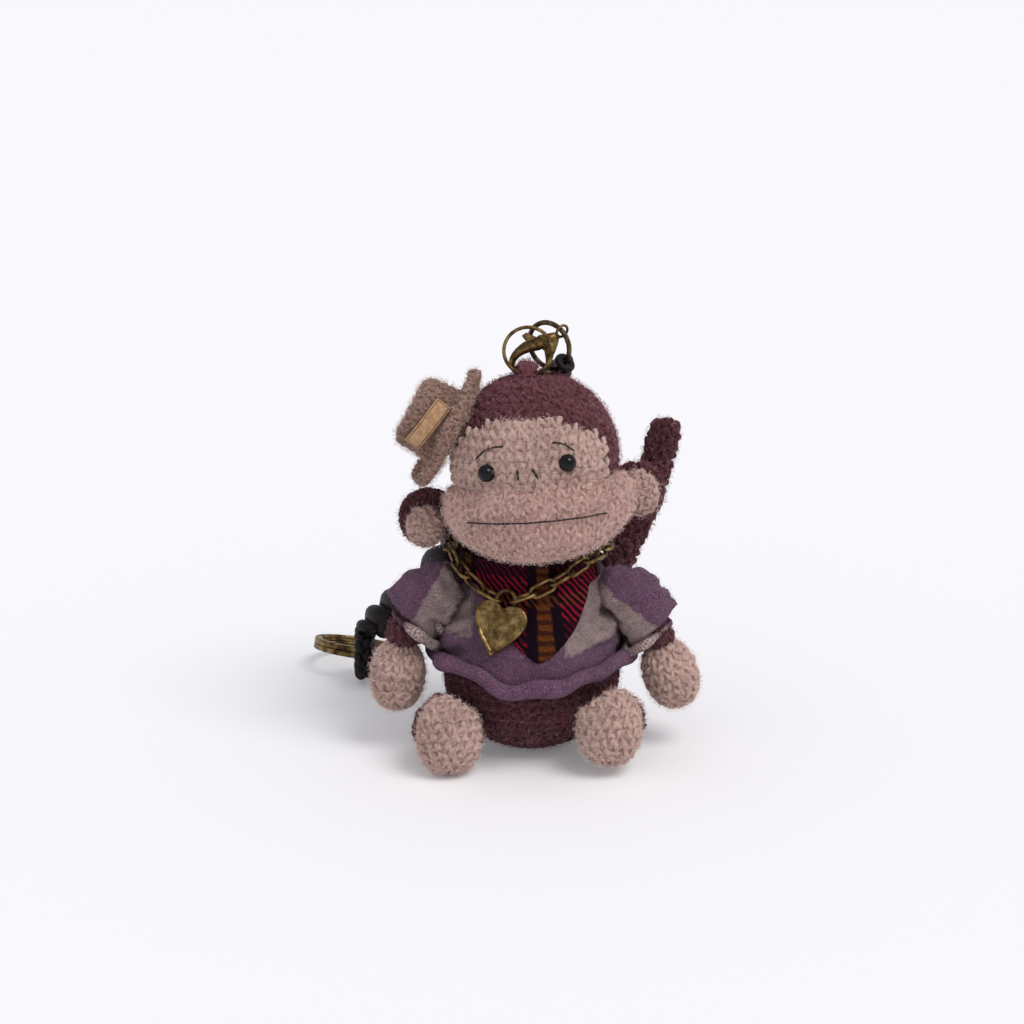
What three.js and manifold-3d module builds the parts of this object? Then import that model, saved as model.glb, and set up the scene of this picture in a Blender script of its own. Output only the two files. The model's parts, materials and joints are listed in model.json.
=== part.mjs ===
// Crochet monkey charm: a seated, stuffed crochet monkey in a knitted sweater, with a tartan bandana,
// a chain necklace with a heart, a small hat, and a clasp, ring and leather strap at the top of its head.
// Millimetres, +Z up. The monkey faces -Y and sits on the flat under its body, whose centre is the origin.
// "Left" and "right" are the viewer's, looking at its face.

import * as THREE from 'three';
import { mergeVertices } from 'three/addons/utils/BufferGeometryUtils.js';
import Module from 'manifold-3d';

const wasm = await Module();
wasm.setup();

// Fits
const seatGap = 0.35; // between pieces that are sewn or glued together
const runGap = 0.55; // between a piece that moves and what it moves past

// Body
const bodyRadius = 21;
const bodyWidestHeight = 18;
const bodyBaseCurve = 2.3; // exponent of the round underside
const bodyFlatDepth = 0.5; // the underside is pressed flat by this much
const neckRadius = 11;
const shoulderCurve = 0.9; // how fast the shoulders close in to the neck

// Head
const headRadius = 19.5;
const headX = 0.7;
const headY = -2;
const headRoll = 5; // degrees, right side up
const neckSpring = 52; // height of the lowest point of the head
const crownHeight = neckSpring + 2 * headRadius;
const headTurn = 20; // degrees each way
const cheekWidth = 42;
const cheekDepth = 22;
const cheekHeight = 12.4;
const cheekDrop = 11;

// Face
const facePanelWall = 0.9;
const facePanelLeft = 70; // degrees round the head from straight ahead
const facePanelRight = 53;
const facePanelTop = 38; // degrees up the head
const facePanelBottom = -22;
const muzzleWidth = 44.6;
const muzzleHeight = 20.8;
const muzzleDepth = 18;
const muzzleReach = 15.5; // of its middle, ahead of the head's centre
const muzzleDrop = 10.2;
const muzzleWrap = 11.5; // how far its ends are wrapped back round the head
const muzzleLift = 0.7; // how far its ends are lifted
const muzzleFullness = 2.5;
const eyeDiameter = 4;
const eyeStandOff = 0.8; // of a bead's centre from the face panel
const eyeAngles = { left: [-31, 5], right: [20.5, 8.5] }; // degrees round and up the head
const threadDiameter = 0.55;

// Ears
const earWidth = 14;
const earHeight = 14.4;
const earDepth = 4.6;
const earWall = 1.7;
const earPadWidth = 9.4;
const earPadHeight = 11.4;
const earPadDepth = 5.6;
const earPadStandOut = 0.12; // share of its depth that it stands ahead of the ear
const earDrop = { left: 13.4, right: 11.4 }; // below the head's centre
const earReach = { left: 27.2, right: 23.4 };
const earSetBack = 1.5; // behind the head's centre
const earTurn = 12; // degrees, the open side towards the front

// Hat
const hatBrimRadius = 15.2;
const hatBrimThickness = 2.4;
const hatBrimCurl = 2;
const hatCrownRadius = 9.4;
const hatCrownHeight = 12.4;
const hatCrownTaper = 0.9;
const hatTopDish = 1.2; // of the crown's top, at its middle
const hatWall = 2;
const hatElevation = 26; // degrees of its axis above level
const hatTurn = 3; // degrees towards the back
const hatSink = 1.8; // of its middle, into the head
const hatSlide = 1.3; // down the side of the head
const labelLength = 12.4;
const labelWidth = 4.2;
const labelThickness = 0.9;
const labelHeight = 7.6; // above the brim
const labelTurn = 10; // degrees up the crown

// Sweater
const knitWall = 1.3;
const sweaterLoose = 0.5; // under the knit
const sweaterHemFront = 17.6;
const sweaterHemSideRise = 5;
const sweaterTop = neckSpring - 6.4;
const hemRoll = 1.1;
const hemRollShare = 0.6;
const hemRollReach = 5;
const foldDepth = 0.7;
const foldCount = 9;
const sleeveRadius = 8.7;

// Arms
const handWidth = 13;
const handLength = 17.5;
const handDepth = 12;
const shoulderX = 13.5;
const shoulderHeight = 37.5;
const armSwing = 20; // degrees each way

// Legs
const legRadius = 7.6;
const footWidth = 15.2;
const footDepth = 13;
const footHeight = 18.8;
const footX = { left: -19.4, right: 17.9 };
const footY = -22.5;
const footLift = { left: 0, right: 2.4 };
const hipHeight = 10.5;
const hipShare = 0.68; // of the body's radius, each way from its axis
const legLift = 25; // degrees
const floorSize = 90;

// Tail
const tailWidth = 8;
const tailThickness = 6;
const tailSwing = 10; // degrees each way

// Bandana
const collarX = -0.8;
const collarOuterRadius = 16.2;
const collarBottom = neckSpring - 9.4;
const collarFrontTop = neckSpring - 2.6;
const collarBackTop = neckSpring + 1.6;
const clothWall = 0.9;
const flapPointHeight = 26.8;
const flapPointAngle = 5; // degrees from straight ahead, to the right
const flapHalfAngle = 52;

// Necklace
const linkLength = 6.9;
const linkWidth = 3.7;
const linkWire = 0.9;
const linkCount = 23;
const necklaceFrontDrop = 11; // below the head's lowest point
const necklaceSideDrop = 2.8;
const necklaceFrontHeight = neckSpring - necklaceFrontDrop;
const necklaceSideHeight = neckSpring - necklaceSideDrop;
const necklaceDropAngle = 75;
const necklaceFrontTurn = -19; // degrees, where the heart hangs
const heartRingRadius = 2.3;
const heartRingWire = 1;
const heartWidth = 12.8;
const heartHeight = 12.6;
const heartThickness = 1.5;
const heartTilt = -9; // degrees in its own plane

// Ring, clasp and strap at the top of the head
const loopWidth = 8.2;
const loopDepth = 9;
const loopHeight = 2.6; // above the head
const loopSink = 1.5; // of its middle, into the head
const loopX = -0.6;
const loopY = 2;
const jumpRingRadius = 5.6;
const jumpRingWire = 0.85;
const jumpRingX = -1;
const jumpRingY = -1.6;
const jumpRingBottom = crownHeight - 0.2;
const claspY = 1.6;
const claspThickness = 3.2;
const claspEyeRadius = 1.5;
const claspEyeWire = 0.8;
const claspBarHeight = crownHeight - 0.6; // of the closed end that runs through the crochet loop
const claspBarRadius = 0.5;
const leverThickness = 1;
const leverPinDiameter = 0.9;
const leverOpening = 12; // degrees
const leverFit = 0.22; // each side of the lever, in the clasp
const pinFit = 0.12; // round the pin
const claspEyeTurn = 33; // degrees about the upright
const claspEyeTilt = 15; // degrees
const strapRingRadius = 5.55;
const strapRingWire = 1.2;
const strapRingHang = [-0.53, 0.45, -0.72]; // from the clasp's eye to the ring's centre
const strapRingRun = [0.64, -0.35, -0.68]; // how its wire runs through the clasp's eye
const strapRingAttach = 88; // degrees along the ring from the eye to the strap
const strapRadius = 6;
const strapTopLoopRadius = 1.8;
const strapTopLoopThickness = 1.6;
const strapEndLoopRadius = 5.2;
const strapEndLoopThickness = 5.2;
const strapEndX = -42;
const strapEndY = 40;
const splitRingRadius = 11.6;
const splitRingWidth = 1.8;
const splitRingHeight = 3;
const splitRingSlopeBack = 0.225;
const splitRingSlopeRight = 0.149;

const root = new THREE.Group();
const degrees = THREE.MathUtils.degToRad;
const vector = (x, y, z) => new THREE.Vector3(x, y, z);
const upward = vector(0, 0, 1);
const rightward = vector(1, 0, 0);
const backward = vector(0, 1, 0);

// Colours and finishes
const burgundyWool = () => new THREE.MeshStandardMaterial({ color: 0x5a3038, roughness: 0.95 });
const beigeWool = () => new THREE.MeshStandardMaterial({ color: 0xb0948a, roughness: 0.95 });
const hatWool = () => new THREE.MeshStandardMaterial({ color: 0x8f7565, roughness: 0.95 });
const purpleKnit = () => new THREE.MeshStandardMaterial({ color: 0x5f4868, roughness: 0.9 });
const tartanCloth = () => new THREE.MeshStandardMaterial({ color: 0x4a1f2a, roughness: 0.85 });
const antiqueBrass = () => new THREE.MeshStandardMaterial({ color: 0x7d6437, roughness: 0.35, metalness: 1 });
const darkBrass = () => new THREE.MeshStandardMaterial({ color: 0x3f3526, roughness: 0.4, metalness: 1 });
const blackLeather = () => new THREE.MeshStandardMaterial({ color: 0x1d1718, roughness: 0.45 });
const blackBead = () => new THREE.MeshStandardMaterial({ color: 0x0b0c0e, roughness: 0.08 });
const blackThread = () => new THREE.MeshStandardMaterial({ color: 0x15130f, roughness: 0.8 });
const corkSheet = () => new THREE.MeshStandardMaterial({ color: 0xb98a5a, roughness: 0.85 });

// Geometry tools

function plain(geometry) {
  const bare = geometry.clone();
  for (const name of Object.keys(bare.attributes)) {
    if (name !== 'position') bare.deleteAttribute(name);
  }
  const merged = mergeVertices(bare, 1e-4);
  const corners = merged.index.array;
  const kept = [];
  for (let i = 0; i < corners.length; i += 3) {
    const [a, b, c] = [corners[i], corners[i + 1], corners[i + 2]];
    if (a !== b && b !== c && c !== a) kept.push(a, b, c);
  }
  merged.setIndex(kept);
  return merged;
}

function enclosedVolume(geometry) {
  const at = geometry.attributes.position;
  const corner = geometry.index.array;
  const [a, b, c] = [vector(), vector(), vector()];
  let volume = 0;
  for (let i = 0; i < corner.length; i += 3) {
    a.fromBufferAttribute(at, corner[i]);
    b.fromBufferAttribute(at, corner[i + 1]);
    c.fromBufferAttribute(at, corner[i + 2]);
    volume += a.dot(b.cross(c)) / 6;
  }
  return volume;
}

function facingOut(geometry) {
  const tidy = plain(geometry);
  if (enclosedVolume(tidy) < 0) {
    const corner = Array.from(tidy.index.array);
    for (let i = 0; i < corner.length; i += 3) [corner[i], corner[i + 1]] = [corner[i + 1], corner[i]];
    tidy.setIndex(corner);
  }
  return tidy;
}

function solidOf(geometry) {
  const tidy = facingOut(geometry);
  const mesh = new wasm.Mesh({
    numProp: 3,
    vertProperties: new Float32Array(tidy.attributes.position.array),
    triVerts: new Uint32Array(tidy.index.array),
  });
  return new wasm.Manifold(mesh);
}

// The main body of a cut piece, without the slivers that a cut may leave beside it
function geometryOf(solid) {
  const bodies = solid.decompose();
  const main = bodies.reduce((largest, body) => (body.volume() > largest.volume() ? body : largest));
  const mesh = main.getMesh();
  const geometry = new THREE.BufferGeometry();
  geometry.setAttribute('position', new THREE.Float32BufferAttribute(mesh.vertProperties, 3));
  geometry.setIndex(Array.from(mesh.triVerts));
  return geometry;
}

// One closed skin over a run of rings, with a tip point at each end
function skin(rings, startTip, endTip) {
  const sides = rings[0].length;
  const points = [startTip, ...rings.flat(), endTip];
  const corners = [];
  const at = (ring, side) => 1 + ring * sides + (side % sides);
  for (let side = 0; side < sides; side += 1) {
    corners.push(0, at(0, side + 1), at(0, side));
    corners.push(points.length - 1, at(rings.length - 1, side), at(rings.length - 1, side + 1));
  }
  for (let ring = 0; ring < rings.length - 1; ring += 1) {
    for (let side = 0; side < sides; side += 1) {
      corners.push(at(ring, side), at(ring, side + 1), at(ring + 1, side));
      corners.push(at(ring + 1, side), at(ring, side + 1), at(ring + 1, side + 1));
    }
  }
  const geometry = new THREE.BufferGeometry().setFromPoints(points);
  geometry.setIndex(corners);
  return facingOut(geometry);
}

// A round limb along a smooth path: stations are [x, y, z, radius].
// The ends are domed, or flat with no dome rows
function limb(stations, options = {}) {
  const { sides = 14, steps = 12, domeRows = 3, flatness = 1, facing = backward, grow = 0 } = options;
  const path = new THREE.CatmullRomCurve3(stations.map(([x, y, z]) => vector(x, y, z)));
  const girth = new THREE.CatmullRomCurve3(stations.map(([, , , radius], i) => vector(i, radius, 0)));
  const ringAt = (t, along, share) => {
    const heading = path.getTangent(t).normalize();
    const centre = path.getPoint(t).addScaledVector(heading, along);
    const across = new THREE.Vector3().crossVectors(heading, facing).normalize();
    const through = new THREE.Vector3().crossVectors(across, heading).normalize();
    const radius = (girth.getPoint(t).y + grow) * share;
    return Array.from({ length: sides }, (_, side) => {
      const turn = (side / sides) * Math.PI * 2;
      return centre
        .clone()
        .addScaledVector(across, Math.cos(turn) * radius)
        .addScaledVector(through, Math.sin(turn) * radius * flatness);
    });
  };
  const startRadius = domeRows ? (girth.getPoint(0).y + grow) * flatness : 0;
  const endRadius = domeRows ? (girth.getPoint(1).y + grow) * flatness : 0;
  const rings = [];
  for (let row = domeRows - 1; row > 0; row -= 1) {
    const turn = (row / domeRows) * (Math.PI / 2);
    rings.push(ringAt(0, -Math.sin(turn) * startRadius, Math.cos(turn)));
  }
  for (let step = 0; step <= steps; step += 1) rings.push(ringAt(step / steps, 0, 1));
  for (let row = 1; row < domeRows; row += 1) {
    const turn = (row / domeRows) * (Math.PI / 2);
    rings.push(ringAt(1, Math.sin(turn) * endRadius, Math.cos(turn)));
  }
  const startTip = path.getPoint(0).addScaledVector(path.getTangent(0).normalize(), -startRadius);
  const endTip = path.getPoint(1).addScaledVector(path.getTangent(1).normalize(), endRadius);
  return skin(rings, startTip, endTip);
}

// A stuffed form: a ball that is fuller or leaner than an ellipsoid, with its size given corner to corner
function stuffedForm(width, depth, height, { fullness = 2.2, around = 20, rows = 14 } = {}) {
  const geometry = new THREE.SphereGeometry(1, around, rows);
  geometry.rotateX(Math.PI / 2);
  const at = geometry.attributes.position;
  const point = vector();
  for (let i = 0; i < at.count; i += 1) {
    point.fromBufferAttribute(at, i);
    const reach = (Math.abs(point.x) ** fullness + Math.abs(point.y) ** fullness
      + Math.abs(point.z) ** fullness) ** (1 / fullness);
    point.divideScalar(reach);
    at.setXYZ(i, (point.x * width) / 2, (point.y * depth) / 2, (point.z * height) / 2);
  }
  return facingOut(geometry);
}

// A closed sheet between an inner and an outer surface, each a function of the two shares across it
function sheet(across, along, inner, outer, goesRound) {
  const columns = goesRound ? across : across + 1;
  const points = [];
  for (const surface of [outer, inner]) {
    for (let column = 0; column < columns; column += 1) {
      for (let row = 0; row <= along; row += 1) points.push(surface(column / across, row / along));
    }
  }
  const half = columns * (along + 1);
  const at = (side, column, row) => side * half + (column % columns) * (along + 1) + row;
  const corners = [];
  const quad = (a, b, c, d) => corners.push(a, b, c, a, c, d);
  for (let column = 0; column < across; column += 1) {
    for (let row = 0; row < along; row += 1) {
      quad(at(0, column, row), at(0, column + 1, row), at(0, column + 1, row + 1), at(0, column, row + 1));
      quad(at(1, column, row), at(1, column, row + 1), at(1, column + 1, row + 1), at(1, column + 1, row));
    }
    quad(at(1, column, 0), at(1, column + 1, 0), at(0, column + 1, 0), at(0, column, 0));
    quad(at(0, column, along), at(0, column + 1, along), at(1, column + 1, along), at(1, column, along));
  }
  if (!goesRound) {
    for (let row = 0; row < along; row += 1) {
      quad(at(0, 0, row), at(0, 0, row + 1), at(1, 0, row + 1), at(1, 0, row));
      quad(at(1, across, row), at(1, across, row + 1), at(0, across, row + 1), at(0, across, row));
    }
  }
  const geometry = new THREE.BufferGeometry().setFromPoints(points);
  geometry.setIndex(corners);
  return facingOut(geometry);
}

// A turned form about +Z: the outline is a list of [radius, height]
function turnedForm(outline, around) {
  const profile = outline.map(([radius, height]) => new THREE.Vector2(radius, height));
  const geometry = new THREE.LatheGeometry(profile, around);
  geometry.rotateX(Math.PI / 2);
  return facingOut(geometry);
}

function moved(geometry, x, y, z) {
  return geometry.clone().translate(x, y, z);
}

function turnedAbout(geometry, pivot, axis, angle) {
  const turn = new THREE.Matrix4()
    .makeTranslation(pivot.x, pivot.y, pivot.z)
    .multiply(new THREE.Matrix4().makeRotationAxis(axis, degrees(angle)))
    .multiply(new THREE.Matrix4().makeTranslation(-pivot.x, -pivot.y, -pivot.z));
  return geometry.clone().applyMatrix4(turn);
}

// Everything that a piece passes through as it turns from one angle to another
function swept(geometry, pivot, axis, from, to, stops) {
  let solid = solidOf(turnedAbout(geometry, pivot, axis, from));
  for (let stop = 1; stop <= stops; stop += 1) {
    const angle = from + ((to - from) * stop) / stops;
    solid = solid.add(solidOf(turnedAbout(geometry, pivot, axis, angle)));
  }
  return solid;
}

function addPiece(group, name, geometry, material) {
  const mesh = new THREE.Mesh(facingOut(geometry), material);
  mesh.name = name;
  group.add(mesh);
  return mesh;
}

// Body

function bodyRadiusAt(height) {
  if (height < bodyWidestHeight) {
    const share = (bodyWidestHeight - height) / (bodyWidestHeight + bodyFlatDepth);
    return bodyRadius * (1 - share ** bodyBaseCurve) ** (1 / bodyBaseCurve);
  }
  const share = Math.min(1, (height - bodyWidestHeight) / (neckSpring - bodyWidestHeight));
  const closing = (0.5 + 0.5 * Math.cos(Math.PI * share)) ** shoulderCurve;
  return neckRadius + (bodyRadius - neckRadius) * closing;
}

function turnedBody(radiusAt, bottom, top, rows, around) {
  const outline = [[0, bottom]];
  for (let row = 0; row <= rows; row += 1) {
    const height = bottom + ((top - bottom) * row) / rows;
    outline.push([radiusAt(height), height]);
  }
  outline.push([0, top]);
  return turnedForm(outline, around);
}

const headCentre = vector(headX, headY, neckSpring + headRadius);
const neckTop = neckSpring + 3;
const headBall = (grow) => new THREE.SphereGeometry(headRadius + grow, 24, 15).rotateX(Math.PI / 2);

// Head, in its own group: x to the viewer's right, -y ahead, z up, from the centre of the ball
const headGroup = new THREE.Group();
headGroup.position.copy(headCentre);
headGroup.rotation.y = -degrees(headRoll);
root.add(headGroup);
headGroup.updateMatrixWorld(true);
const outOfHead = headGroup.matrixWorld;
const intoHead = outOfHead.clone().invert();

const cheekForm = (grow) => {
  const size = [cheekWidth, cheekDepth, cheekHeight].map((length) => length + 2 * grow);
  return moved(stuffedForm(...size, { around: 18, rows: 8 }), 0, 0, -cheekDrop);
};
const headForm = (grow) => solidOf(headBall(grow)).add(solidOf(cheekForm(grow)));
const cheeksOut = cheekForm(runGap).applyMatrix4(outOfHead);
const cheeksTurning = swept(cheeksOut, headCentre, upward, -headTurn, headTurn, 4);

const bodySolid = solidOf(turnedBody(bodyRadiusAt, 0, neckTop, 15, 24))
  .subtract(solidOf(headBall(runGap).translate(headCentre.x, headCentre.y, headCentre.z)))
  .subtract(cheeksTurning);
addPiece(root, 'body', geometryOf(bodySolid), burgundyWool());

// Sweater body, with a rolled hem and soft upright folds

const hemHeightAt = (turn) => sweaterHemFront + sweaterHemSideRise * Math.sin(turn) ** 2;
const sweaterInnerAt = (height) => bodyRadiusAt(height) + sweaterLoose;
const foldShareAt = (height) => Math.max(0, 1 - (height - sweaterHemFront) / (sweaterTop - sweaterHemFront));
const sweaterOuterAt = (height) => sweaterInnerAt(height) + knitWall + foldDepth * foldShareAt(height);

function aroundBody(turn, radius, height) {
  return vector(Math.sin(turn) * radius, -Math.cos(turn) * radius, height);
}

function sweaterPoint(share, rise, isOuter) {
  const turn = share * Math.PI * 2;
  const bottom = hemHeightAt(turn);
  const height = bottom + (sweaterTop - bottom) * rise;
  if (!isOuter) return aroundBody(turn, sweaterInnerAt(height), height);
  const fold = foldDepth * foldShareAt(height) * (0.5 - 0.5 * Math.cos(foldCount * turn));
  const roll = Math.max(0, hemRoll * (1 - Math.abs(rise * 10 - 0.8)));
  return aroundBody(turn, sweaterInnerAt(height) + knitWall + fold + roll * hemRollShare, height);
}

addPiece(root, 'sweater_body', sheet(39, 6, (u, v) => sweaterPoint(u, v, false),
  (u, v) => sweaterPoint(u, v, true), true), purpleKnit());

function dressedRadiusAt(height) {
  if (height < sweaterHemFront - 1 || height > sweaterTop) return bodyRadiusAt(height);
  const rolled = height < sweaterHemFront + sweaterHemSideRise + hemRollReach ? hemRoll * hemRollShare : 0;
  return sweaterOuterAt(height) + rolled;
}
const dressedBody = (grow) => turnedBody((height) => dressedRadiusAt(height) + grow, 0, neckSpring, 18, 22);

// Bandana: a folded collar round the neck with a pointed flap down the chest

function flapBottomAt(turn) {
  const fromPoint = Math.abs(THREE.MathUtils.radToDeg(turn) - flapPointAngle) / flapHalfAngle;
  return flapPointHeight + (collarBottom - flapPointHeight) * Math.min(1, fromPoint);
}

// The distance from the body's axis to the round outside of the collar, whose centre is to one side
function collarReach(turn, grow = 0) {
  const radius = collarOuterRadius + grow;
  return collarX * Math.sin(turn) + Math.sqrt(radius ** 2 - (collarX * Math.cos(turn)) ** 2);
}

// The collar is higher behind, under the back of the head
function collarTopAt(turn) {
  const behind = THREE.MathUtils.smoothstep(Math.abs(THREE.MathUtils.radToDeg(turn)), 95, 140);
  return THREE.MathUtils.lerp(collarFrontTop, collarBackTop, behind);
}

const bandanaInnerAt = (height) => sweaterOuterAt(Math.min(height, sweaterTop)) + seatGap;

function bandanaOuterAt(turn, height) {
  const collarShare = THREE.MathUtils.smoothstep(height, collarBottom - 4, collarBottom + 1);
  const inner = bandanaInnerAt(height);
  return Math.max(inner + clothWall, THREE.MathUtils.lerp(inner + clothWall, collarReach(turn), collarShare));
}

function bandanaPoint(share, rise, isOuter) {
  const turn = (share - 0.5) * Math.PI * 2;
  const bottom = flapBottomAt(turn);
  const height = bottom + (collarTopAt(turn) - bottom) * rise;
  return aroundBody(turn, isOuter ? bandanaOuterAt(turn, height) : bandanaInnerAt(height), height);
}

addPiece(root, 'bandana', sheet(36, 6, (u, v) => bandanaPoint(u, v, false),
  (u, v) => bandanaPoint(u, v, true), true), tartanCloth());

// Necklace: links that alternate between lying flat and standing on edge, threaded through the heart's ring

function necklaceHeightAt(turn) {
  const away = Math.abs(THREE.MathUtils.radToDeg(turn) - necklaceFrontTurn) / necklaceDropAngle;
  const rise = THREE.MathUtils.smoothstep(away, 0, 1) ** 0.8;
  return THREE.MathUtils.lerp(necklaceFrontHeight, necklaceSideHeight, rise);
}

function necklacePointAt(share) {
  const turn = Math.PI * 2 * share + degrees(necklaceFrontTurn);
  const wrapped = Math.atan2(Math.sin(turn), Math.cos(turn));
  const standOff = linkWidth / 2 + seatGap;
  return aroundBody(wrapped, collarReach(wrapped, standOff), necklaceHeightAt(wrapped));
}

const necklacePath = new THREE.CatmullRomCurve3(
  Array.from({ length: 48 }, (_, i) => necklacePointAt(i / 48)), true);
necklacePath.arcLengthDivisions = 600;
const ringToLink = linkLength / 2 - linkWire + heartRingRadius - heartRingWire / 2 - 0.25;
const linkPitch = (necklacePath.getLength() - 2 * ringToLink) / (linkCount - 1);

function linkGeometry() {
  const geometry = new THREE.TorusGeometry((linkWidth - linkWire) / 2, linkWire / 2, 5, 10);
  const at = geometry.attributes.position;
  for (let i = 0; i < at.count; i += 1) {
    const x = at.getX(i);
    if (Math.abs(x) > 1e-4) at.setX(i, x + (Math.sign(x) * (linkLength - linkWidth)) / 2);
  }
  return geometry;
}

function necklaceFrame(distance) {
  const share = THREE.MathUtils.euclideanModulo(distance / necklacePath.getLength(), 1);
  const along = necklacePath.getTangentAt(share).normalize();
  const outward = vector(necklacePath.getPointAt(share).x - collarX, necklacePath.getPointAt(share).y, 0);
  outward.addScaledVector(along, -outward.dot(along)).normalize();
  const upright = new THREE.Vector3().crossVectors(outward, along).normalize();
  return { centre: necklacePath.getPointAt(share), along, outward, upright };
}

for (let i = 0; i < linkCount; i += 1) {
  const { centre, along, outward, upright } = necklaceFrame(ringToLink + i * linkPitch);
  const link = addPiece(root, `chain_link_${i + 1}`, linkGeometry(), antiqueBrass());
  const onEdge = i % 2 === 0;
  const basis = onEdge
    ? new THREE.Matrix4().makeBasis(along, outward, upright.clone().negate())
    : new THREE.Matrix4().makeBasis(along, upright, outward);
  link.quaternion.setFromRotationMatrix(basis);
  link.position.copy(centre);
}

// Heart with its cast ring, leaning on the chest
const heartFrame = necklaceFrame(0);
const heartDrop = heartRingRadius + heartHeight * 0.87;
const heartLean = Math.max(...[0.3, 0.5, 0.7, 0.85, 1].map((share) => {
  const height = heartFrame.centre.z - heartDrop * share;
  const chest = bandanaOuterAt(degrees(flapPointAngle), height) + heartThickness / 2 + seatGap;
  return Math.atan2(chest - Math.hypot(heartFrame.centre.x, heartFrame.centre.y), heartDrop * share);
}));
const heartSolid = (() => {
  // The outline is given in half widths and heights
  const half = (share) => (share * heartWidth) / 2;
  const rise = (share) => share * heartHeight;
  const outline = new THREE.Shape();
  outline.moveTo(0, rise(-0.6));
  outline.bezierCurveTo(half(-0.5), rise(-0.34), half(-1), rise(-0.1), half(-1), rise(0.14));
  outline.bezierCurveTo(half(-1), rise(0.46), half(-0.2), rise(0.5), 0, rise(0.26));
  outline.bezierCurveTo(half(0.2), rise(0.5), half(1), rise(0.46), half(1), rise(0.14));
  outline.bezierCurveTo(half(1), rise(-0.1), half(0.5), rise(-0.34), 0, rise(-0.6));
  const plate = new THREE.ExtrudeGeometry(outline,
    { depth: heartThickness, bevelEnabled: false, curveSegments: 8 });
  plate.translate(0, -heartRingRadius - heartHeight * 0.28, -heartThickness / 2);
  const ring = new THREE.TorusGeometry(heartRingRadius, heartRingWire / 2, 8, 18);
  return solidOf(plate).add(solidOf(ring));
})();
const heart = addPiece(root, 'heart_pendant', geometryOf(heartSolid), antiqueBrass());
heart.position.copy(heartFrame.centre);
heart.rotation.set(Math.PI / 2 - heartLean, 0, 0);
heart.rotateZ(degrees(heartTilt));
heart.rotateOnWorldAxis(upward, degrees(necklaceFrontTurn));

// Face and muzzle

function muzzleForm(grow) {
  const geometry = stuffedForm(muzzleWidth + 2 * grow, muzzleDepth + 2 * grow, muzzleHeight + 2 * grow,
    { fullness: muzzleFullness, around: 22, rows: 10 });
  const at = geometry.attributes.position;
  for (let i = 0; i < at.count; i += 1) {
    const out = (at.getX(i) / (muzzleWidth / 2)) ** 2;
    at.setY(i, at.getY(i) - muzzleReach + muzzleWrap * out);
    at.setZ(i, at.getZ(i) - muzzleDrop + muzzleLift * out);
  }
  return geometry;
}

// A point on a ball about the head's centre, by its angles round from straight ahead and up
function onHead(round, up, radius) {
  const [turn, rise] = [degrees(round), degrees(up)];
  const level = radius * Math.cos(rise);
  return vector(Math.sin(turn) * level, -Math.cos(turn) * level, radius * Math.sin(rise));
}

const facePanelInside = headRadius + seatGap;
const facePanelOutside = facePanelInside + facePanelWall;

function facePanelPoint(share, rise, radius) {
  const round = THREE.MathUtils.lerp(-facePanelLeft, facePanelRight, share);
  const arch = 1 - Math.abs(2 * share - 1) ** 3;
  const top = THREE.MathUtils.lerp(facePanelTop * 0.35, facePanelTop, arch);
  return onHead(round, THREE.MathUtils.lerp(facePanelBottom, top, rise), radius);
}

// Room for the neck as the head turns on it
const neckPlug = turnedBody((height) => bodyRadiusAt(height) + runGap, collarBottom, neckTop + runGap, 8, 28);
const neckRoom = swept(neckPlug, headCentre, upward, -headTurn, headTurn, 4).transform(intoHead.elements);
const muzzleSolid = solidOf(muzzleForm(0)).subtract(headForm(seatGap)).subtract(neckRoom);
const facePanelSolid = solidOf(sheet(12, 6, (u, v) => facePanelPoint(u, v, facePanelInside),
  (u, v) => facePanelPoint(u, v, facePanelOutside), false))
  .subtract(solidOf(muzzleForm(seatGap)));
// The same patch, larger all round, which the hat is cut clear of
const roundFacePanel = (u, v, radius) => facePanelPoint(u * 1.04 - 0.02, v * 1.02, radius);
const facePanelRoom = solidOf(sheet(12, 6, (u, v) => roundFacePanel(u, v, headRadius),
  (u, v) => roundFacePanel(u, v, facePanelOutside + seatGap), false));
addPiece(headGroup, 'muzzle', geometryOf(muzzleSolid), beigeWool());
addPiece(headGroup, 'face_panel', geometryOf(facePanelSolid), beigeWool());

// Bead eyes, sunk into the face, and thread brows
const underBeads = solidOf(new THREE.SphereGeometry(facePanelOutside + seatGap, 40, 26).rotateX(Math.PI / 2));
for (const side of ['left', 'right']) {
  const [round, up] = eyeAngles[side];
  const centre = onHead(round, up, facePanelOutside + eyeStandOff);
  const bead = new THREE.SphereGeometry(eyeDiameter / 2, 12, 8).translate(centre.x, centre.y, centre.z);
  addPiece(headGroup, `eye_${side}`, geometryOf(solidOf(bead).subtract(underBeads)), blackBead());
}

const browStations = {
  left: [[-39.3, 13.2], [-33.5, 18], [-27, 20.8], [-20, 21.8]],
  right: [[12.7, 22.1], [17, 21.2], [21.5, 19], [26.3, 14.8]],
};
const threadRadius = threadDiameter / 2;
for (const side of ['left', 'right']) {
  const stations = browStations[side].map(([round, up]) => {
    const point = onHead(round, up, facePanelOutside + seatGap + threadRadius);
    return [point.x, point.y, point.z, threadRadius];
  });
  const brow = limb(stations, { sides: 4, steps: 6, domeRows: 2, facing: upward });
  addPiece(headGroup, `brow_${side}`, brow, blackThread());
}

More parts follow.
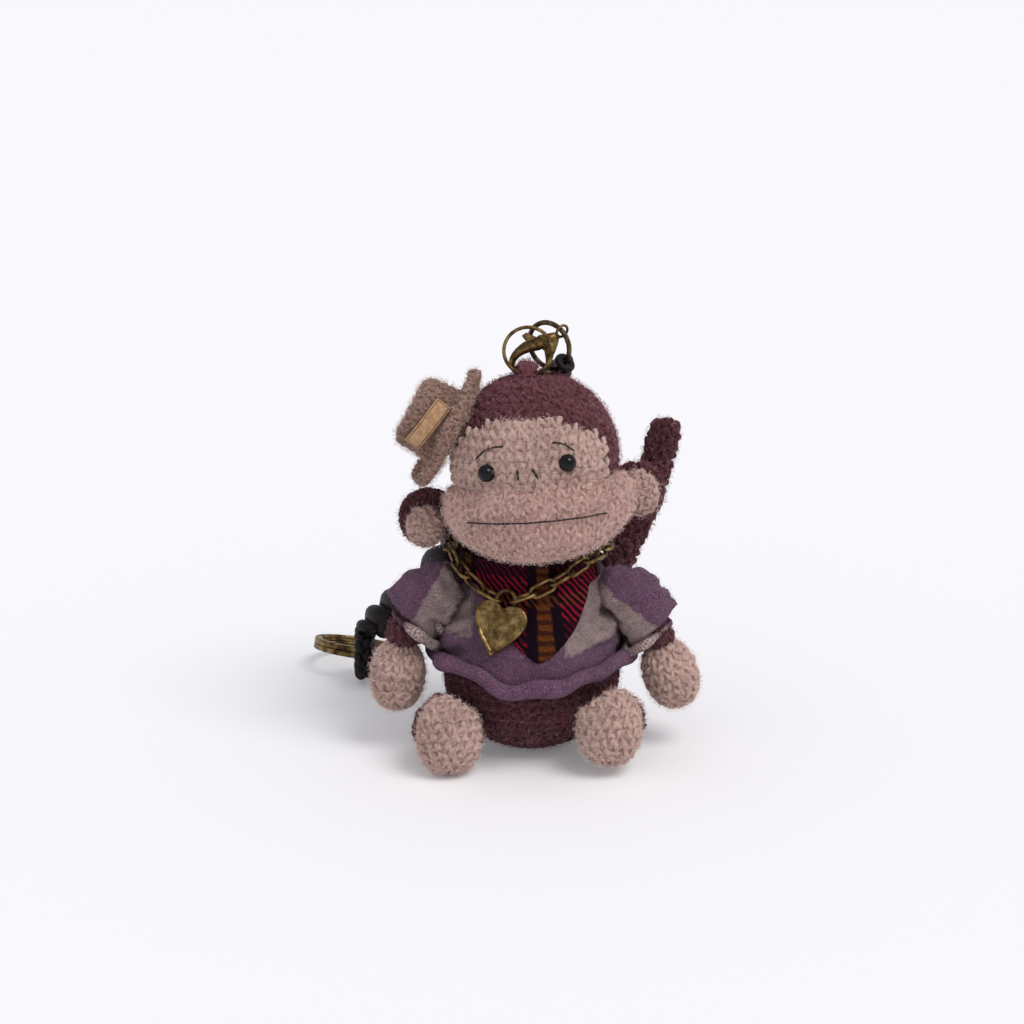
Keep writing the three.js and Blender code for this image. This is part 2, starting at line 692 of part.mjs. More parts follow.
// Mouth: one thread along the front of the muzzle
const mouthDrop = { ends: 9, middle: 9.5 };
const mouthHalfWidth = 19;
function muzzleFrontAt(x, z) {
  const out = (x / (muzzleWidth / 2)) ** 2;
  const across = (Math.abs(x) / (muzzleWidth / 2)) ** muzzleFullness;
  const height = (Math.abs(z + muzzleDrop - muzzleLift * out) / (muzzleHeight / 2)) ** muzzleFullness;
  const share = Math.max(0, 1 - across - height) ** (1 / muzzleFullness);
  return -share * (muzzleDepth / 2) - muzzleReach + muzzleWrap * out;
}
const mouthStations = Array.from({ length: 13 }, (_, i) => {
  const x = mouthHalfWidth * ((2 * i) / 12 - 1);
  const z = -THREE.MathUtils.lerp(mouthDrop.middle, mouthDrop.ends, (x / mouthHalfWidth) ** 2);
  return [x, muzzleFrontAt(x, z) - seatGap - threadRadius * 1.4, z, threadRadius];
});
const mouth = limb(mouthStations, { sides: 4, steps: 18, domeRows: 2, facing: upward });
addPiece(headGroup, 'mouth_thread', mouth, blackThread());

// Ears: a cupped burgundy ear with a beige pad seated in it
const headCutter = headForm(seatGap);
const muzzleCutter = solidOf(muzzleForm(seatGap));
const necklaceReach = collarOuterRadius + seatGap + linkWidth + runGap; // from the collar's axis
const necklaceCrown = necklaceSideHeight + linkWidth / 2 + runGap;
// Room for the necklace as an ear passes over it when the head turns
const necklaceSweep = necklaceReach + Math.hypot(headX - collarX, headY); // from the head's axis
const necklaceRoom = solidOf(turnedForm([[0, 0], [necklaceSweep, 0], [necklaceSweep, necklaceCrown],
  [0, necklaceCrown]], 40).translate(headCentre.x, headCentre.y, 0).applyMatrix4(intoHead));
for (const side of ['left', 'right']) {
  const hand = side === 'left' ? -1 : 1;
  const place = (geometry, aheadBy) => geometry.translate(0, -aheadBy, 0)
    .rotateZ(degrees(-hand * earTurn)).translate(hand * earReach[side], earSetBack, -earDrop[side]);
  // The ear's form, or with a wall taken off it, the hollow in it
  const earForm = (wall) => stuffedForm(earWidth - 2 * wall, (earDepth - wall) * 2, earHeight - 2 * wall,
    { around: wall ? 18 : 16, rows: 8 });
  const front = new THREE.BoxGeometry(earWidth * 2, earDepth * 2, earHeight * 2).translate(0, -earDepth, 0);
  const frontRoom = solidOf(place(front, 0));
  const cupSolid = solidOf(place(earForm(0), 0)).subtract(solidOf(place(earForm(earWall), 0)))
    .subtract(frontRoom).subtract(headCutter).subtract(muzzleCutter).subtract(necklaceRoom);
  addPiece(headGroup, `ear_${side}`, geometryOf(cupSolid), burgundyWool());
  const padSize = [earPadWidth - 2 * seatGap, earPadDepth, earPadHeight - 2 * seatGap];
  const pad = stuffedForm(...padSize, { around: 14, rows: 8 });
  const room = solidOf(place(earForm(earWall + seatGap), 0)).add(frontRoom);
  const padSolid = solidOf(place(pad, earPadDepth * earPadStandOut)).intersect(room)
    .subtract(headCutter).subtract(muzzleCutter).subtract(necklaceRoom);
  addPiece(headGroup, `ear_pad_${side}`, geometryOf(padSolid), beigeWool());
}

// Hat: hollow crown and curled brim, seated on the head's side, with a plain cork label round its front
const hatAxis = vector(-Math.cos(degrees(hatElevation)) * Math.cos(degrees(hatTurn)),
  Math.sin(degrees(hatTurn)), Math.sin(degrees(hatElevation))).normalize();
const hatUp = new THREE.Vector3().crossVectors(backward, hatAxis).normalize(); // across the brim, upwards
const hatBack = new THREE.Vector3().crossVectors(hatAxis, hatUp);
const hatGroup = new THREE.Group();
hatGroup.quaternion.setFromRotationMatrix(new THREE.Matrix4().makeBasis(hatUp, hatBack, hatAxis));
hatGroup.position.copy(hatAxis).multiplyScalar(headRadius - hatSink).addScaledVector(hatUp, -hatSlide);
headGroup.add(hatGroup);
hatGroup.updateMatrixWorld(true);
const hatCrownRadiusAt = (height) => hatCrownRadius - (hatCrownTaper * height) / hatCrownHeight;
const hatTopRadius = hatCrownRadiusAt(hatCrownHeight);
const hatInsideTop = hatCrownHeight - hatTopDish - hatWall;
const hatOutline = [
  [0, hatCrownHeight - hatTopDish], [hatCrownRadius * 0.35, hatCrownHeight - hatTopDish * 0.75],
  [hatCrownRadius * 0.62, hatCrownHeight], [hatTopRadius - 0.9, hatCrownHeight - 0.5],
  [hatTopRadius, hatCrownHeight - 1.9], [hatCrownRadiusAt(hatBrimThickness), hatBrimThickness + 0.4],
  [hatCrownRadius + 1.2, hatBrimThickness], [hatBrimRadius - 2.6, hatBrimThickness + hatBrimCurl * 0.35],
  [hatBrimRadius - 0.9, hatBrimThickness + hatBrimCurl],
  [hatBrimRadius, hatBrimThickness + hatBrimCurl * 0.4], [hatBrimRadius - 0.5, hatBrimThickness * 0.5],
  [hatBrimRadius - 2.4, 0], [hatCrownRadius - hatWall, 0],
  [hatTopRadius - hatWall, hatInsideTop], [0, hatInsideTop],
];
const hatTurned = turnedForm(hatOutline, 26);
hatGroup.updateMatrix();
const hatSolid = solidOf(hatTurned.applyMatrix4(hatGroup.matrix)).subtract(headCutter).subtract(facePanelRoom);
addPiece(headGroup, 'hat', geometryOf(hatSolid), hatWool());

const labelInside = hatCrownRadiusAt(labelHeight - labelWidth / 2) + seatGap;
const labelHalfTurn = labelLength / labelInside / 2;
const labelPoint = (u, v, radius) => aroundBody(degrees(labelTurn) + (2 * u - 1) * labelHalfTurn, radius,
  labelHeight + (v - 0.5) * labelWidth);
const labelGeometry = sheet(12, 1, (u, v) => labelPoint(u, v, labelInside),
  (u, v) => labelPoint(u, v, labelInside + labelThickness), false);
addPiece(hatGroup, 'hat_label', labelGeometry, corkSheet());

// Arms: an upper arm out of a short wide sleeve, and a beige hand; all three turn about the shoulder
const armRoutes = {
  left: {
    arm: [[-14, -1.5, 37, 4.4], [-21, -2.5, 36, 4.6], [-28, -4, 31.5, 4.5], [-31.2, -5.4, 24.5, 4.4]],
    sleeve: [[-13.5, -1.2, 36.2, 7.6], [-19, -1.8, 36.4, 8.5], [-25, -2.6, 35.4, sleeveRadius],
      [-29, -3.6, 31.5, sleeveRadius]],
    hand: { at: [-31.8, -6, 18.6], lean: -6 },
  },
  right: {
    arm: [[14, -1.5, 37, 4.4], [20.5, -2.4, 35, 4.6], [27, -3.2, 30.5, 4.5], [31, -3.8, 24, 4.3]],
    sleeve: [[13.5, -1.2, 36.2, 7.6], [19, -1.8, 35.6, 8.4], [25, -2.5, 33, sleeveRadius],
      [28.4, -3, 29.4, sleeveRadius]],
    hand: { at: [33, -4, 18.2], lean: 20 },
  },
};
// What an arm's pieces pass on the sweater and collar as it swings
const bandanaReach = bandanaInnerAt(collarBottom) + clothWall + Math.abs(collarX);
const collarPostRadius = Math.max(collarOuterRadius, bandanaReach) + runGap;
const collarPostBottom = collarBottom - runGap;
const collarPostTop = necklaceSideHeight + linkWidth;
const necklaceUnderside = necklaceSideHeight - linkWidth / 2 - runGap;
const collarPost = turnedForm([[0, collarPostBottom], [collarPostRadius, collarPostBottom],
  [collarPostRadius, necklaceUnderside], [necklaceReach, necklaceUnderside],
  [necklaceReach, collarPostTop], [0, collarPostTop]], 28).translate(collarX, 0, 0);
for (const side of ['left', 'right']) {
  const hand = side === 'left' ? -1 : 1;
  const route = armRoutes[side];
  const shoulder = vector(hand * shoulderX, 0, shoulderHeight);
  const trunkRoom = swept(dressedBody(seatGap), shoulder, rightward, -armSwing, armSwing, 4)
    .add(swept(collarPost, shoulder, rightward, -armSwing, armSwing, 2));
  const handForm = (grow) => stuffedForm(handWidth + 2 * grow, handDepth + 2 * grow, handLength + 2 * grow,
    { around: 14, rows: 9 }).rotateY(degrees(-route.hand.lean)).translate(...route.hand.at);
  const palm = handForm(0);
  const palmCutter = handForm(seatGap);
  const armSolid = solidOf(limb(route.arm, { sides: 10, steps: 7 }))
    .subtract(solidOf(palmCutter)).subtract(trunkRoom);
  addPiece(root, `arm_${side}`, geometryOf(armSolid), burgundyWool());
  addPiece(root, `hand_${side}`, palm, beigeWool());
  const sleeveOutside = limb(route.sleeve, { sides: 14, steps: 6, domeRows: 0 });
  const sleeveInside = limb(route.sleeve, { sides: 14, steps: 6, domeRows: 2, grow: -knitWall });
  const sleeveSolid = solidOf(sleeveOutside).subtract(solidOf(sleeveInside)).subtract(trunkRoom)
    .subtract(solidOf(limb(route.arm, { sides: 10, steps: 7, grow: seatGap })));
  addPiece(root, `sleeve_${side}`, geometryOf(sleeveSolid), purpleKnit());
}

// Legs: a short burgundy leg to each side of the front, and a beige foot with its sole ahead
for (const side of ['left', 'right']) {
  const hand = side === 'left' ? -1 : 1;
  const footAt = vector(footX[side], footY, footHeight / 2 - 0.1 + footLift[side]);
  const hipReach = bodyRadiusAt(hipHeight) * hipShare;
  const hip = vector(hand * hipReach, -hipReach, hipHeight);
  const liftAxis = vector(-0.78, -hand * 0.62, 0).normalize();
  const legRoute = [[hip.x * 0.86, hip.y * 0.62, hipHeight, legRadius - 0.4],
    [THREE.MathUtils.lerp(hip.x, footAt.x, 0.75), -14, hipHeight - 0.4 + footLift[side] * 0.5, legRadius],
    [footAt.x - hand * -1.4, footY + 4.5, hipHeight - 1 + footLift[side], legRadius - 0.3]];
  const clearRadiusAt = (height) => dressedRadiusAt(Math.max(0, height)) + runGap;
  const bodyBelow = turnedBody(clearRadiusAt, -6, sweaterTop, 14, 22);
  const bodyRoom = swept(bodyBelow, hip, liftAxis, 0, -legLift, 4);
  const footForm = (grow) => moved(
    stuffedForm(footWidth + 2 * grow, footDepth + 2 * grow, footHeight + 2 * grow,
      { fullness: 2.25, around: 14, rows: 10 }), ...footAt.toArray());
  const floor = new THREE.BoxGeometry(floorSize, floorSize, 10).translate(0, 0, -5);
  const legSolid = solidOf(limb(legRoute, { sides: 12, steps: 5, facing: upward }))
    .subtract(solidOf(footForm(seatGap))).subtract(bodyRoom).subtract(solidOf(floor));
  addPiece(root, `leg_${side}`, geometryOf(legSolid), burgundyWool());
  const footSolid = solidOf(footForm(0)).subtract(bodyRoom).subtract(solidOf(floor));
  addPiece(root, `foot_${side}`, geometryOf(footSolid), beigeWool());
}

// Tail: a flattened tube that stands up behind, sewn on low at the back
const tailRadius = tailWidth / 2;
const tailRoute = [[5.5, 17, 8, tailRadius * 0.87], [9, 22.4, 13, tailRadius], [15.5, 25, 24, tailRadius],
  [21.6, 25, 38, tailRadius], [26.8, 24, 50.5, tailRadius], [30.4, 22, 62.8, tailRadius],
  [32.1, 20.5, 71.6, tailRadius * 0.97]];
const tailRoot = vector(5.5, 19, 8.5);
const tailAxis = vector(0.28, 0.96, 0).normalize();
const tailRoom = swept(dressedBody(runGap), tailRoot, tailAxis, -tailSwing, tailSwing, 4);
const tailFlatness = tailThickness / tailWidth;
const tailSolid = solidOf(limb(tailRoute, { sides: 10, steps: 13, flatness: tailFlatness }))
  .subtract(tailRoom);
addPiece(root, 'tail', geometryOf(tailSolid), burgundyWool());

// Hardware at the top of the head
const jumpRingCentre = vector(jumpRingX, jumpRingY, jumpRingBottom + jumpRingRadius);
const jumpRing = (grow) => new THREE.TorusGeometry(jumpRingRadius, jumpRingWire / 2 + grow, 5, 22)
  .rotateX(Math.PI / 2).translate(jumpRingCentre.x, jumpRingCentre.y, jumpRingCentre.z);
addPiece(root, 'jump_ring', jumpRing(0), antiqueBrass());

// Clasp: a hook that runs through the crochet loop, a lever that closes it, its pin, and an eye
// Its stations are x, height over the bar and wire radius
const overBar = ([x, rise, radius]) => [x, claspY, claspBarHeight + rise, radius];
const hookStations = [[4.6, 8.5, 1.2], [3.2, 7.7, 1.75], [0.6, 6.8, 1.75], [-2.4, 5.6, 1.35],
  [-4.5, 3.5, 1], [-4.9, 1.5, 0.8], [-3.9, 0.3, 0.65], [-1.8, 0, claspBarRadius],
  [1.2, 0, claspBarRadius], [4, 0, claspBarRadius]];
const cheekStations = [[5.3, 8.8, 0.9], [4.7, 7.4, 1.6], [4.2, 5.4, 1.4], [3.9, 4, 1]];
const claspHook = limb(hookStations.map(overBar), { sides: 8, steps: 12, domeRows: 2, facing: backward });
const claspCheek = limb(cheekStations.map(overBar), { sides: 8, steps: 4, domeRows: 2, facing: backward });
const claspEyeCentre = vector(6.9, claspY, claspBarHeight + 9.9);
const claspEye = new THREE.TorusGeometry(claspEyeRadius, claspEyeWire / 2, 6, 14)
  .rotateX(Math.PI / 2 + degrees(claspEyeTilt)).rotateZ(degrees(claspEyeTurn))
  .translate(...claspEyeCentre.toArray());
const leverPivot = vector(3.4, claspY, claspBarHeight + 7.2);
const leverShape = (grow) => {
  const outline = new THREE.Shape();
  const points = [[3.1, 0.9], [4.1, 0.9], [4.6, 3.1], [4.5, 6.6], [3.6, 8.2], [1.4, 8.2],
    [-1.4, 9.5], [-2.4, 8.8], [-1.2, 7.2], [1.6, 6.4], [2.8, 5.2], [3.1, 3.2]];
  outline.setFromPoints(points.map(([x, rise]) => new THREE.Vector2(x, claspBarHeight + rise)));
  const plate = new THREE.ExtrudeGeometry(outline, { depth: leverThickness + 2 * grow, bevelEnabled: false });
  return plate.rotateX(Math.PI / 2).translate(0, claspY + leverThickness / 2 + grow, 0);
};
const pinForm = (diameter, length) => new THREE.CylinderGeometry(diameter / 2, diameter / 2, length, 10)
  .translate(...leverPivot.toArray());
const pinHole = solidOf(pinForm(leverPinDiameter + 2 * pinFit, claspThickness * 2.5));
const leverRoom = swept(leverShape(leverFit), leverPivot, backward, 0, leverOpening, 2);
const claspSolid = solidOf(claspHook).add(solidOf(claspCheek)).add(solidOf(claspEye))
  .subtract(leverRoom).subtract(pinHole);
addPiece(root, 'clasp_body', geometryOf(claspSolid), antiqueBrass());
addPiece(root, 'clasp_lever', geometryOf(solidOf(leverShape(0)).subtract(pinHole)), antiqueBrass());
addPiece(root, 'clasp_pin', pinForm(leverPinDiameter, claspThickness), darkBrass());

// Crochet loop on the head's crown: a slot runs through it from side to side for the ring and the clasp
const slotRoom = 0.55; // round the clasp's bar
const slotFloor = claspBarHeight - claspBarRadius - slotRoom;
const slotRoof = jumpRingBottom + jumpRingWire / 2 + seatGap;
const slotInside = { left: -3.3, right: 2.6 }; // of the arch that the ring and the clasp hold
const slotFront = jumpRingY - jumpRingWire / 2 - seatGap - 1.1;
const slotBack = claspY + claspBarRadius + slotRoom + 0.3;
const slotShoulder = crownHeight + 1;
const slotTop = crownHeight + 5;
const slotOutline = new THREE.Shape([[-7.5, slotTop], [-7, slotShoulder], [-5, slotFloor], [4.6, slotFloor],
  [6.4, slotShoulder], [6.6, slotTop], [slotInside.right, slotTop], [slotInside.right, slotRoof + 1.7],
  [slotInside.right - 1, slotRoof + 0.75], [slotInside.right - 2, slotRoof],
  [slotInside.left + 1.1, slotRoof],
  [slotInside.left, slotRoof + 0.9], [slotInside.left, slotTop]]
  .map(([x, z]) => new THREE.Vector2(x, z)));
const slot = new THREE.ExtrudeGeometry(slotOutline, { depth: slotBack - slotFront, bevelEnabled: false })
  .rotateX(Math.PI / 2).translate(0, slotBack, 0).applyMatrix4(intoHead);
const loopForm = stuffedForm(loopWidth, loopDepth, (loopHeight + loopSink) * 2,
  { fullness: 2.4, around: 14, rows: 8 });
const loopSolid = solidOf(moved(loopForm, loopX, loopY, headRadius - loopSink))
  .subtract(headCutter).subtract(solidOf(slot));
addPiece(headGroup, 'head_loop', geometryOf(loopSolid), burgundyWool());
addPiece(headGroup, 'head', geometryOf(headForm(0).subtract(solidOf(slot))), burgundyWool());

// Strap ring: its wire runs through the clasp's eye and it lies on the back of the head
const strapRingDown = vector(...strapRingHang).normalize();
const strapRingWay = vector(...strapRingRun);
strapRingWay.addScaledVector(strapRingDown, -strapRingWay.dot(strapRingDown)).normalize();
const strapRingFacing = new THREE.Vector3().crossVectors(strapRingWay, strapRingDown).normalize();
const strapRingForm = new THREE.TorusGeometry(strapRingRadius, strapRingWire / 2, 6, 24);
const strapRing = addPiece(root, 'strap_ring', strapRingForm, darkBrass());
const strapRingBasis = new THREE.Matrix4().makeBasis(strapRingWay, strapRingDown, strapRingFacing);
strapRing.quaternion.setFromRotationMatrix(strapRingBasis);
strapRing.position.copy(claspEyeCentre).addScaledVector(strapRingDown, strapRingRadius);
const attachTurn = degrees(strapRingAttach);
const strapTop = strapRing.position.clone()
  .addScaledVector(strapRingDown, -strapRingRadius * Math.cos(attachTurn))
  .addScaledVector(strapRingWay, strapRingRadius * Math.sin(attachTurn));
const strapTopAxis = strapRingDown.clone().multiplyScalar(Math.sin(attachTurn))
  .addScaledVector(strapRingWay, Math.cos(attachTurn)).normalize();
const strapTopBack = backward.clone().addScaledVector(strapTopAxis, -strapTopAxis.y).normalize();

// Strap: plaited leather with a small loop on the strap ring and a large one on the split ring
const strapTopLoop = new THREE.TorusGeometry(strapTopLoopRadius, strapTopLoopThickness / 2, 6, 12)
  .applyMatrix4(new THREE.Matrix4().makeBasis(strapTopBack,
    new THREE.Vector3().crossVectors(strapTopAxis, strapTopBack), strapTopAxis))
  .translate(strapTop.x, strapTop.y, strapTop.z);
const strapEndHeight = strapEndLoopRadius + strapEndLoopThickness / 2 + 0.05;
const strapEndLoop = new THREE.TorusGeometry(strapEndLoopRadius, strapEndLoopThickness / 2, 8, 16)
  .rotateY(Math.PI / 2).translate(strapEndX, strapEndY, strapEndHeight);
const strapStart = strapTop.clone().addScaledVector(strapTopBack, strapTopLoopRadius);
const strapRoute = [[strapStart.x, strapStart.y, strapStart.z, strapTopLoopThickness / 2],
  [8, 9.4, crownHeight + 1, 2.4], [6.5, 16.4, crownHeight - 3, 4], [5, 21.2, crownHeight - 9.5, 5.2],
  [3, 24.6, crownHeight - 17, 5.8], [-1, 25.9, crownHeight - 25.5, strapRadius],
  [-7, 26.4, crownHeight * 0.61, strapRadius], [-14, 27, crownHeight * 0.495, strapRadius],
  [-21, 28, crownHeight * 0.385, strapRadius], [-29.5, 30.5, crownHeight * 0.28, strapRadius],
  [-36, 35, crownHeight * 0.209, strapRadius * 0.9],
  [strapEndX + 1.2, strapEndY - 1.4, strapEndHeight + strapEndLoopRadius + 1.4, 3.4],
  [strapEndX + 0.2, strapEndY, strapEndHeight + strapEndLoopRadius, 2.4]];
const strapSolid = solidOf(limb(strapRoute, { sides: 10, steps: 18, facing: rightward }))
  .add(solidOf(strapTopLoop)).add(solidOf(strapEndLoop));
addPiece(root, 'strap', geometryOf(strapSolid), blackLeather());

// Split ring: two coils on each other, through the strap's end loop
const splitAcross = vector(1, 0, -splitRingSlopeRight).normalize();
const splitDown = vector(0, 1, -splitRingSlopeBack);
const splitNormal = new THREE.Vector3().crossVectors(splitAcross, splitDown).normalize();
const splitBack = new THREE.Vector3().crossVectors(splitNormal, splitAcross);
const halfWidth = splitRingWidth / 2;
const halfHeight = splitRingHeight / 2;
const coilNotch = 0.3;
const splitOutline = [[splitRingRadius - halfWidth, -halfHeight], [splitRingRadius + halfWidth, -halfHeight],
  [splitRingRadius + halfWidth, -coilNotch / 2], [splitRingRadius + halfWidth - coilNotch, 0],
  [splitRingRadius + halfWidth, coilNotch / 2], [splitRingRadius + halfWidth, halfHeight],
  [splitRingRadius - halfWidth, halfHeight], [splitRingRadius - halfWidth, -halfHeight]];
const splitRing = addPiece(root, 'split_ring', turnedForm(splitOutline, 28), antiqueBrass());
const splitBasis = new THREE.Matrix4().makeBasis(splitAcross, splitBack, splitNormal);
splitRing.quaternion.setFromRotationMatrix(splitBasis);
splitRing.position.set(strapEndX, strapEndY, strapEndHeight - 0.7)
  .addScaledVector(splitBack, splitRingRadius).addScaledVector(splitAcross, -1.6);

export default root;
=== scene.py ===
"""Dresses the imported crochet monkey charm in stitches, fuzz, knit, cloth, leather and metal over the fixed frame."""

import json
import math

import bmesh
import bpy
import numpy as np
from mathutils import Matrix, Vector
from mathutils.bvhtree import BVHTree

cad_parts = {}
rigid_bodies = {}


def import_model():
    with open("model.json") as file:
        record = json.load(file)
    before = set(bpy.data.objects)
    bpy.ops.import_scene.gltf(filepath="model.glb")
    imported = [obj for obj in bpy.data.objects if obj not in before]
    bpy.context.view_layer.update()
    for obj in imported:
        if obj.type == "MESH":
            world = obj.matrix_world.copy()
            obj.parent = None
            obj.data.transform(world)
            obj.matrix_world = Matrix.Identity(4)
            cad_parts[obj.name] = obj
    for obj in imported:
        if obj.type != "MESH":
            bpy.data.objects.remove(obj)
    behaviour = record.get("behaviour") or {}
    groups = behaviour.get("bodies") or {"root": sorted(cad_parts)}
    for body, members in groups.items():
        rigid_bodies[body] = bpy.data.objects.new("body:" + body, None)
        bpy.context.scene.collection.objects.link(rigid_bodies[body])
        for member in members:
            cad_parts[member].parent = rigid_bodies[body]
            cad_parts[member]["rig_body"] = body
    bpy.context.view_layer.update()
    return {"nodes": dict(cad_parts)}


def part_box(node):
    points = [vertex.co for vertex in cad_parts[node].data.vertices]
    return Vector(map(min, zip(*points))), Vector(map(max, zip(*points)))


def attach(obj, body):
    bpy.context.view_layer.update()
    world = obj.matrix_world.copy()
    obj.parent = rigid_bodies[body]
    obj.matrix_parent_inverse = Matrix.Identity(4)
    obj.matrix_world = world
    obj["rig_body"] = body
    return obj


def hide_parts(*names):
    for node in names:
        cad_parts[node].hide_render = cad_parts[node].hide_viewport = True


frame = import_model()

bl_info = {
    "name": "Crochet Monkey Charm",
    "version": (1, 0, 0),
    "blender": (4, 5, 0),
    "location": "View3D > Sidebar > Monkey",
    "description": "Dresses the frame of a crochet monkey charm in wool, knit, cloth, leather and brass",
    "category": "Object",
}

MM = 0.001
FULL_TURN = 2 * math.pi
AHEAD, UP = (0, -1, 0), (0, 0, 1)
SIDES = ("left", "right")

# Where the camera looks, from how far and how high; the way that the key light shines, and its width in the sky
VIEW_AIM = Vector((-4.7, 0, 57)) * MM
VIEW_DISTANCE = 0.7
VIEW_ELEVATION = math.radians(17)
SUN_WAY = Vector((-0.42, 0.38, -0.82))
SUN_WIDTH = math.radians(32)
FLOOR_REACH = 6

HEAD_CENTRE = Vector((0.7, -2.0, 71.5)) * MM
HEAD_ROLL = math.radians(5)
# Distances from the head's centre in millimetres: the face patch's two sides, its stitches, fuzz, beads and threads
PATCH_OUTSIDE, PATCH_INSIDE, PATCH_STITCHES, PATCH_FUZZ = 20.62, 19.95, 20.75, 21.2
BEAD_PLACE, BROW_PLACE, NOSE_PLACE = 21.55, 21.55, 21.6
# Each row of the face's stitches: how far up it lies, and how far it reaches to the left and the right, in degrees
FACE_ROWS = [(35.6, -32, 19), (28.8, -50, 31), (22.0, -57, 46), (15.2, -61, 50), (8.4, -65, 50), (1.6, -66, 49),
             (-5.2, -64, 48), (-12.0, -61, 47), (-18.8, -56, 45)]

# The hat's section, as distance from its middle line and height over its middle point, in millimetres
HAT_OUTLINE = [(0, 11.2), (3.3, 11.5), (5.8, 12.4), (7.6, 12.0), (8.5, 10.5), (9.2, 3.2), (10.2, 2.4), (12.6, 2.6),
               (14.5, 3.5), (15.2, 2.8), (14.9, 1.9), (12.8, 1.0), (8.1, 0.6), (7.2, 8.8), (0, 8.8)]
HAT_CLEARANCE = 20.2
LABEL_WIDTH, LABEL_HEIGHT, LABEL_THICKNESS = 12.4, 4.2, 0.9

# Points along the leather strap from its ring to its loop, each with the plait's reach, in millimetres
STRAP_ROUTE = [(8.0, 3.4, 93.1, 1.1), (8.3, 5.2, 92.6, 1.2), (8, 9.4, 91.4, 1.8), (6.5, 16.4, 87.4, 3.2),
               (5, 21.2, 81.2, 5), (3, 24.6, 74, 5.8), (-1, 25.9, 65.5, 6), (-7, 26.4, 55.5, 6), (-14, 27, 45, 6),
               (-21, 28, 35, 6), (-29.5, 30.5, 25.5, 6), (-36, 35, 19, 5.4), (-40.8, 38.6, 14.45, 3.6),
               (-41.8, 40, 13.05, 2.6)]
# The strap's plaited loop round the split ring and its plain one on the strap ring: middle, radius and thickness
END_LOOP, END_LOOP_RADIUS, END_LOOP_REACH = (-42, 40, 7.85), 5.2, 2.6
TOP_LOOP, TOP_LOOP_RADIUS, TOP_LOOP_REACH = Vector((7.603, 2.079, 92.636)), 1.8, 0.78

# Where the heart hangs, and its turns in degrees: round the chest, upright but for its lean, and askew
HEART_PLACE, HEART_TURNS = Vector((-6.07, -17.629, 41.0)), [(-19, "Z"), (90 - 21.63, "X"), (-9, "Z")]
HEART_WIDTH, HEART_HEIGHT, HEART_RING_RADIUS, HEART_RING_WIRE = 12.8, 12.6, 2.3, 0.5

# The tartan's repeats in millimetres, the knit's stitch, the painted shade between its loops, and the gap over the
# floor
TARTAN_REPEAT_ACROSS, TARTAN_REPEAT_UP = 21.0, 13.5
KNIT_STITCH = (0.74 * MM, 0.62 * MM)
KNIT_GAP_SHADE = (0.03, 0.015, 0.025, 1.0)
FLOOR_GAP = 0.05 * MM


# Places

def from_head(x, y, z):
    """A point given in the head's own millimetres, turned with the head's lean."""
    c, s = math.cos(HEAD_ROLL), math.sin(HEAD_ROLL)
    return HEAD_CENTRE + Vector((x * c - z * s, y, x * s + z * c)) * MM


def on_head(across, up, radius):
    """A point on a ball about the head's centre, by degrees round from straight ahead and up."""
    a, e = math.radians(across), math.radians(up)
    return from_head(math.sin(a) * math.cos(e) * radius, -math.cos(a) * math.cos(e) * radius, math.sin(e) * radius)


def metres(points):
    return [Vector(p) * MM for p in points]


def angles_round(count):
    """Angles evenly round a full turn."""
    return [FULL_TURN * j / count for j in range(count)]


def body_of(node):
    return frame["nodes"][node]["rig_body"]


def middle(node):
    low, high = (Vector(c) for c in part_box(node))
    return (low + high) / 2


# Node trees

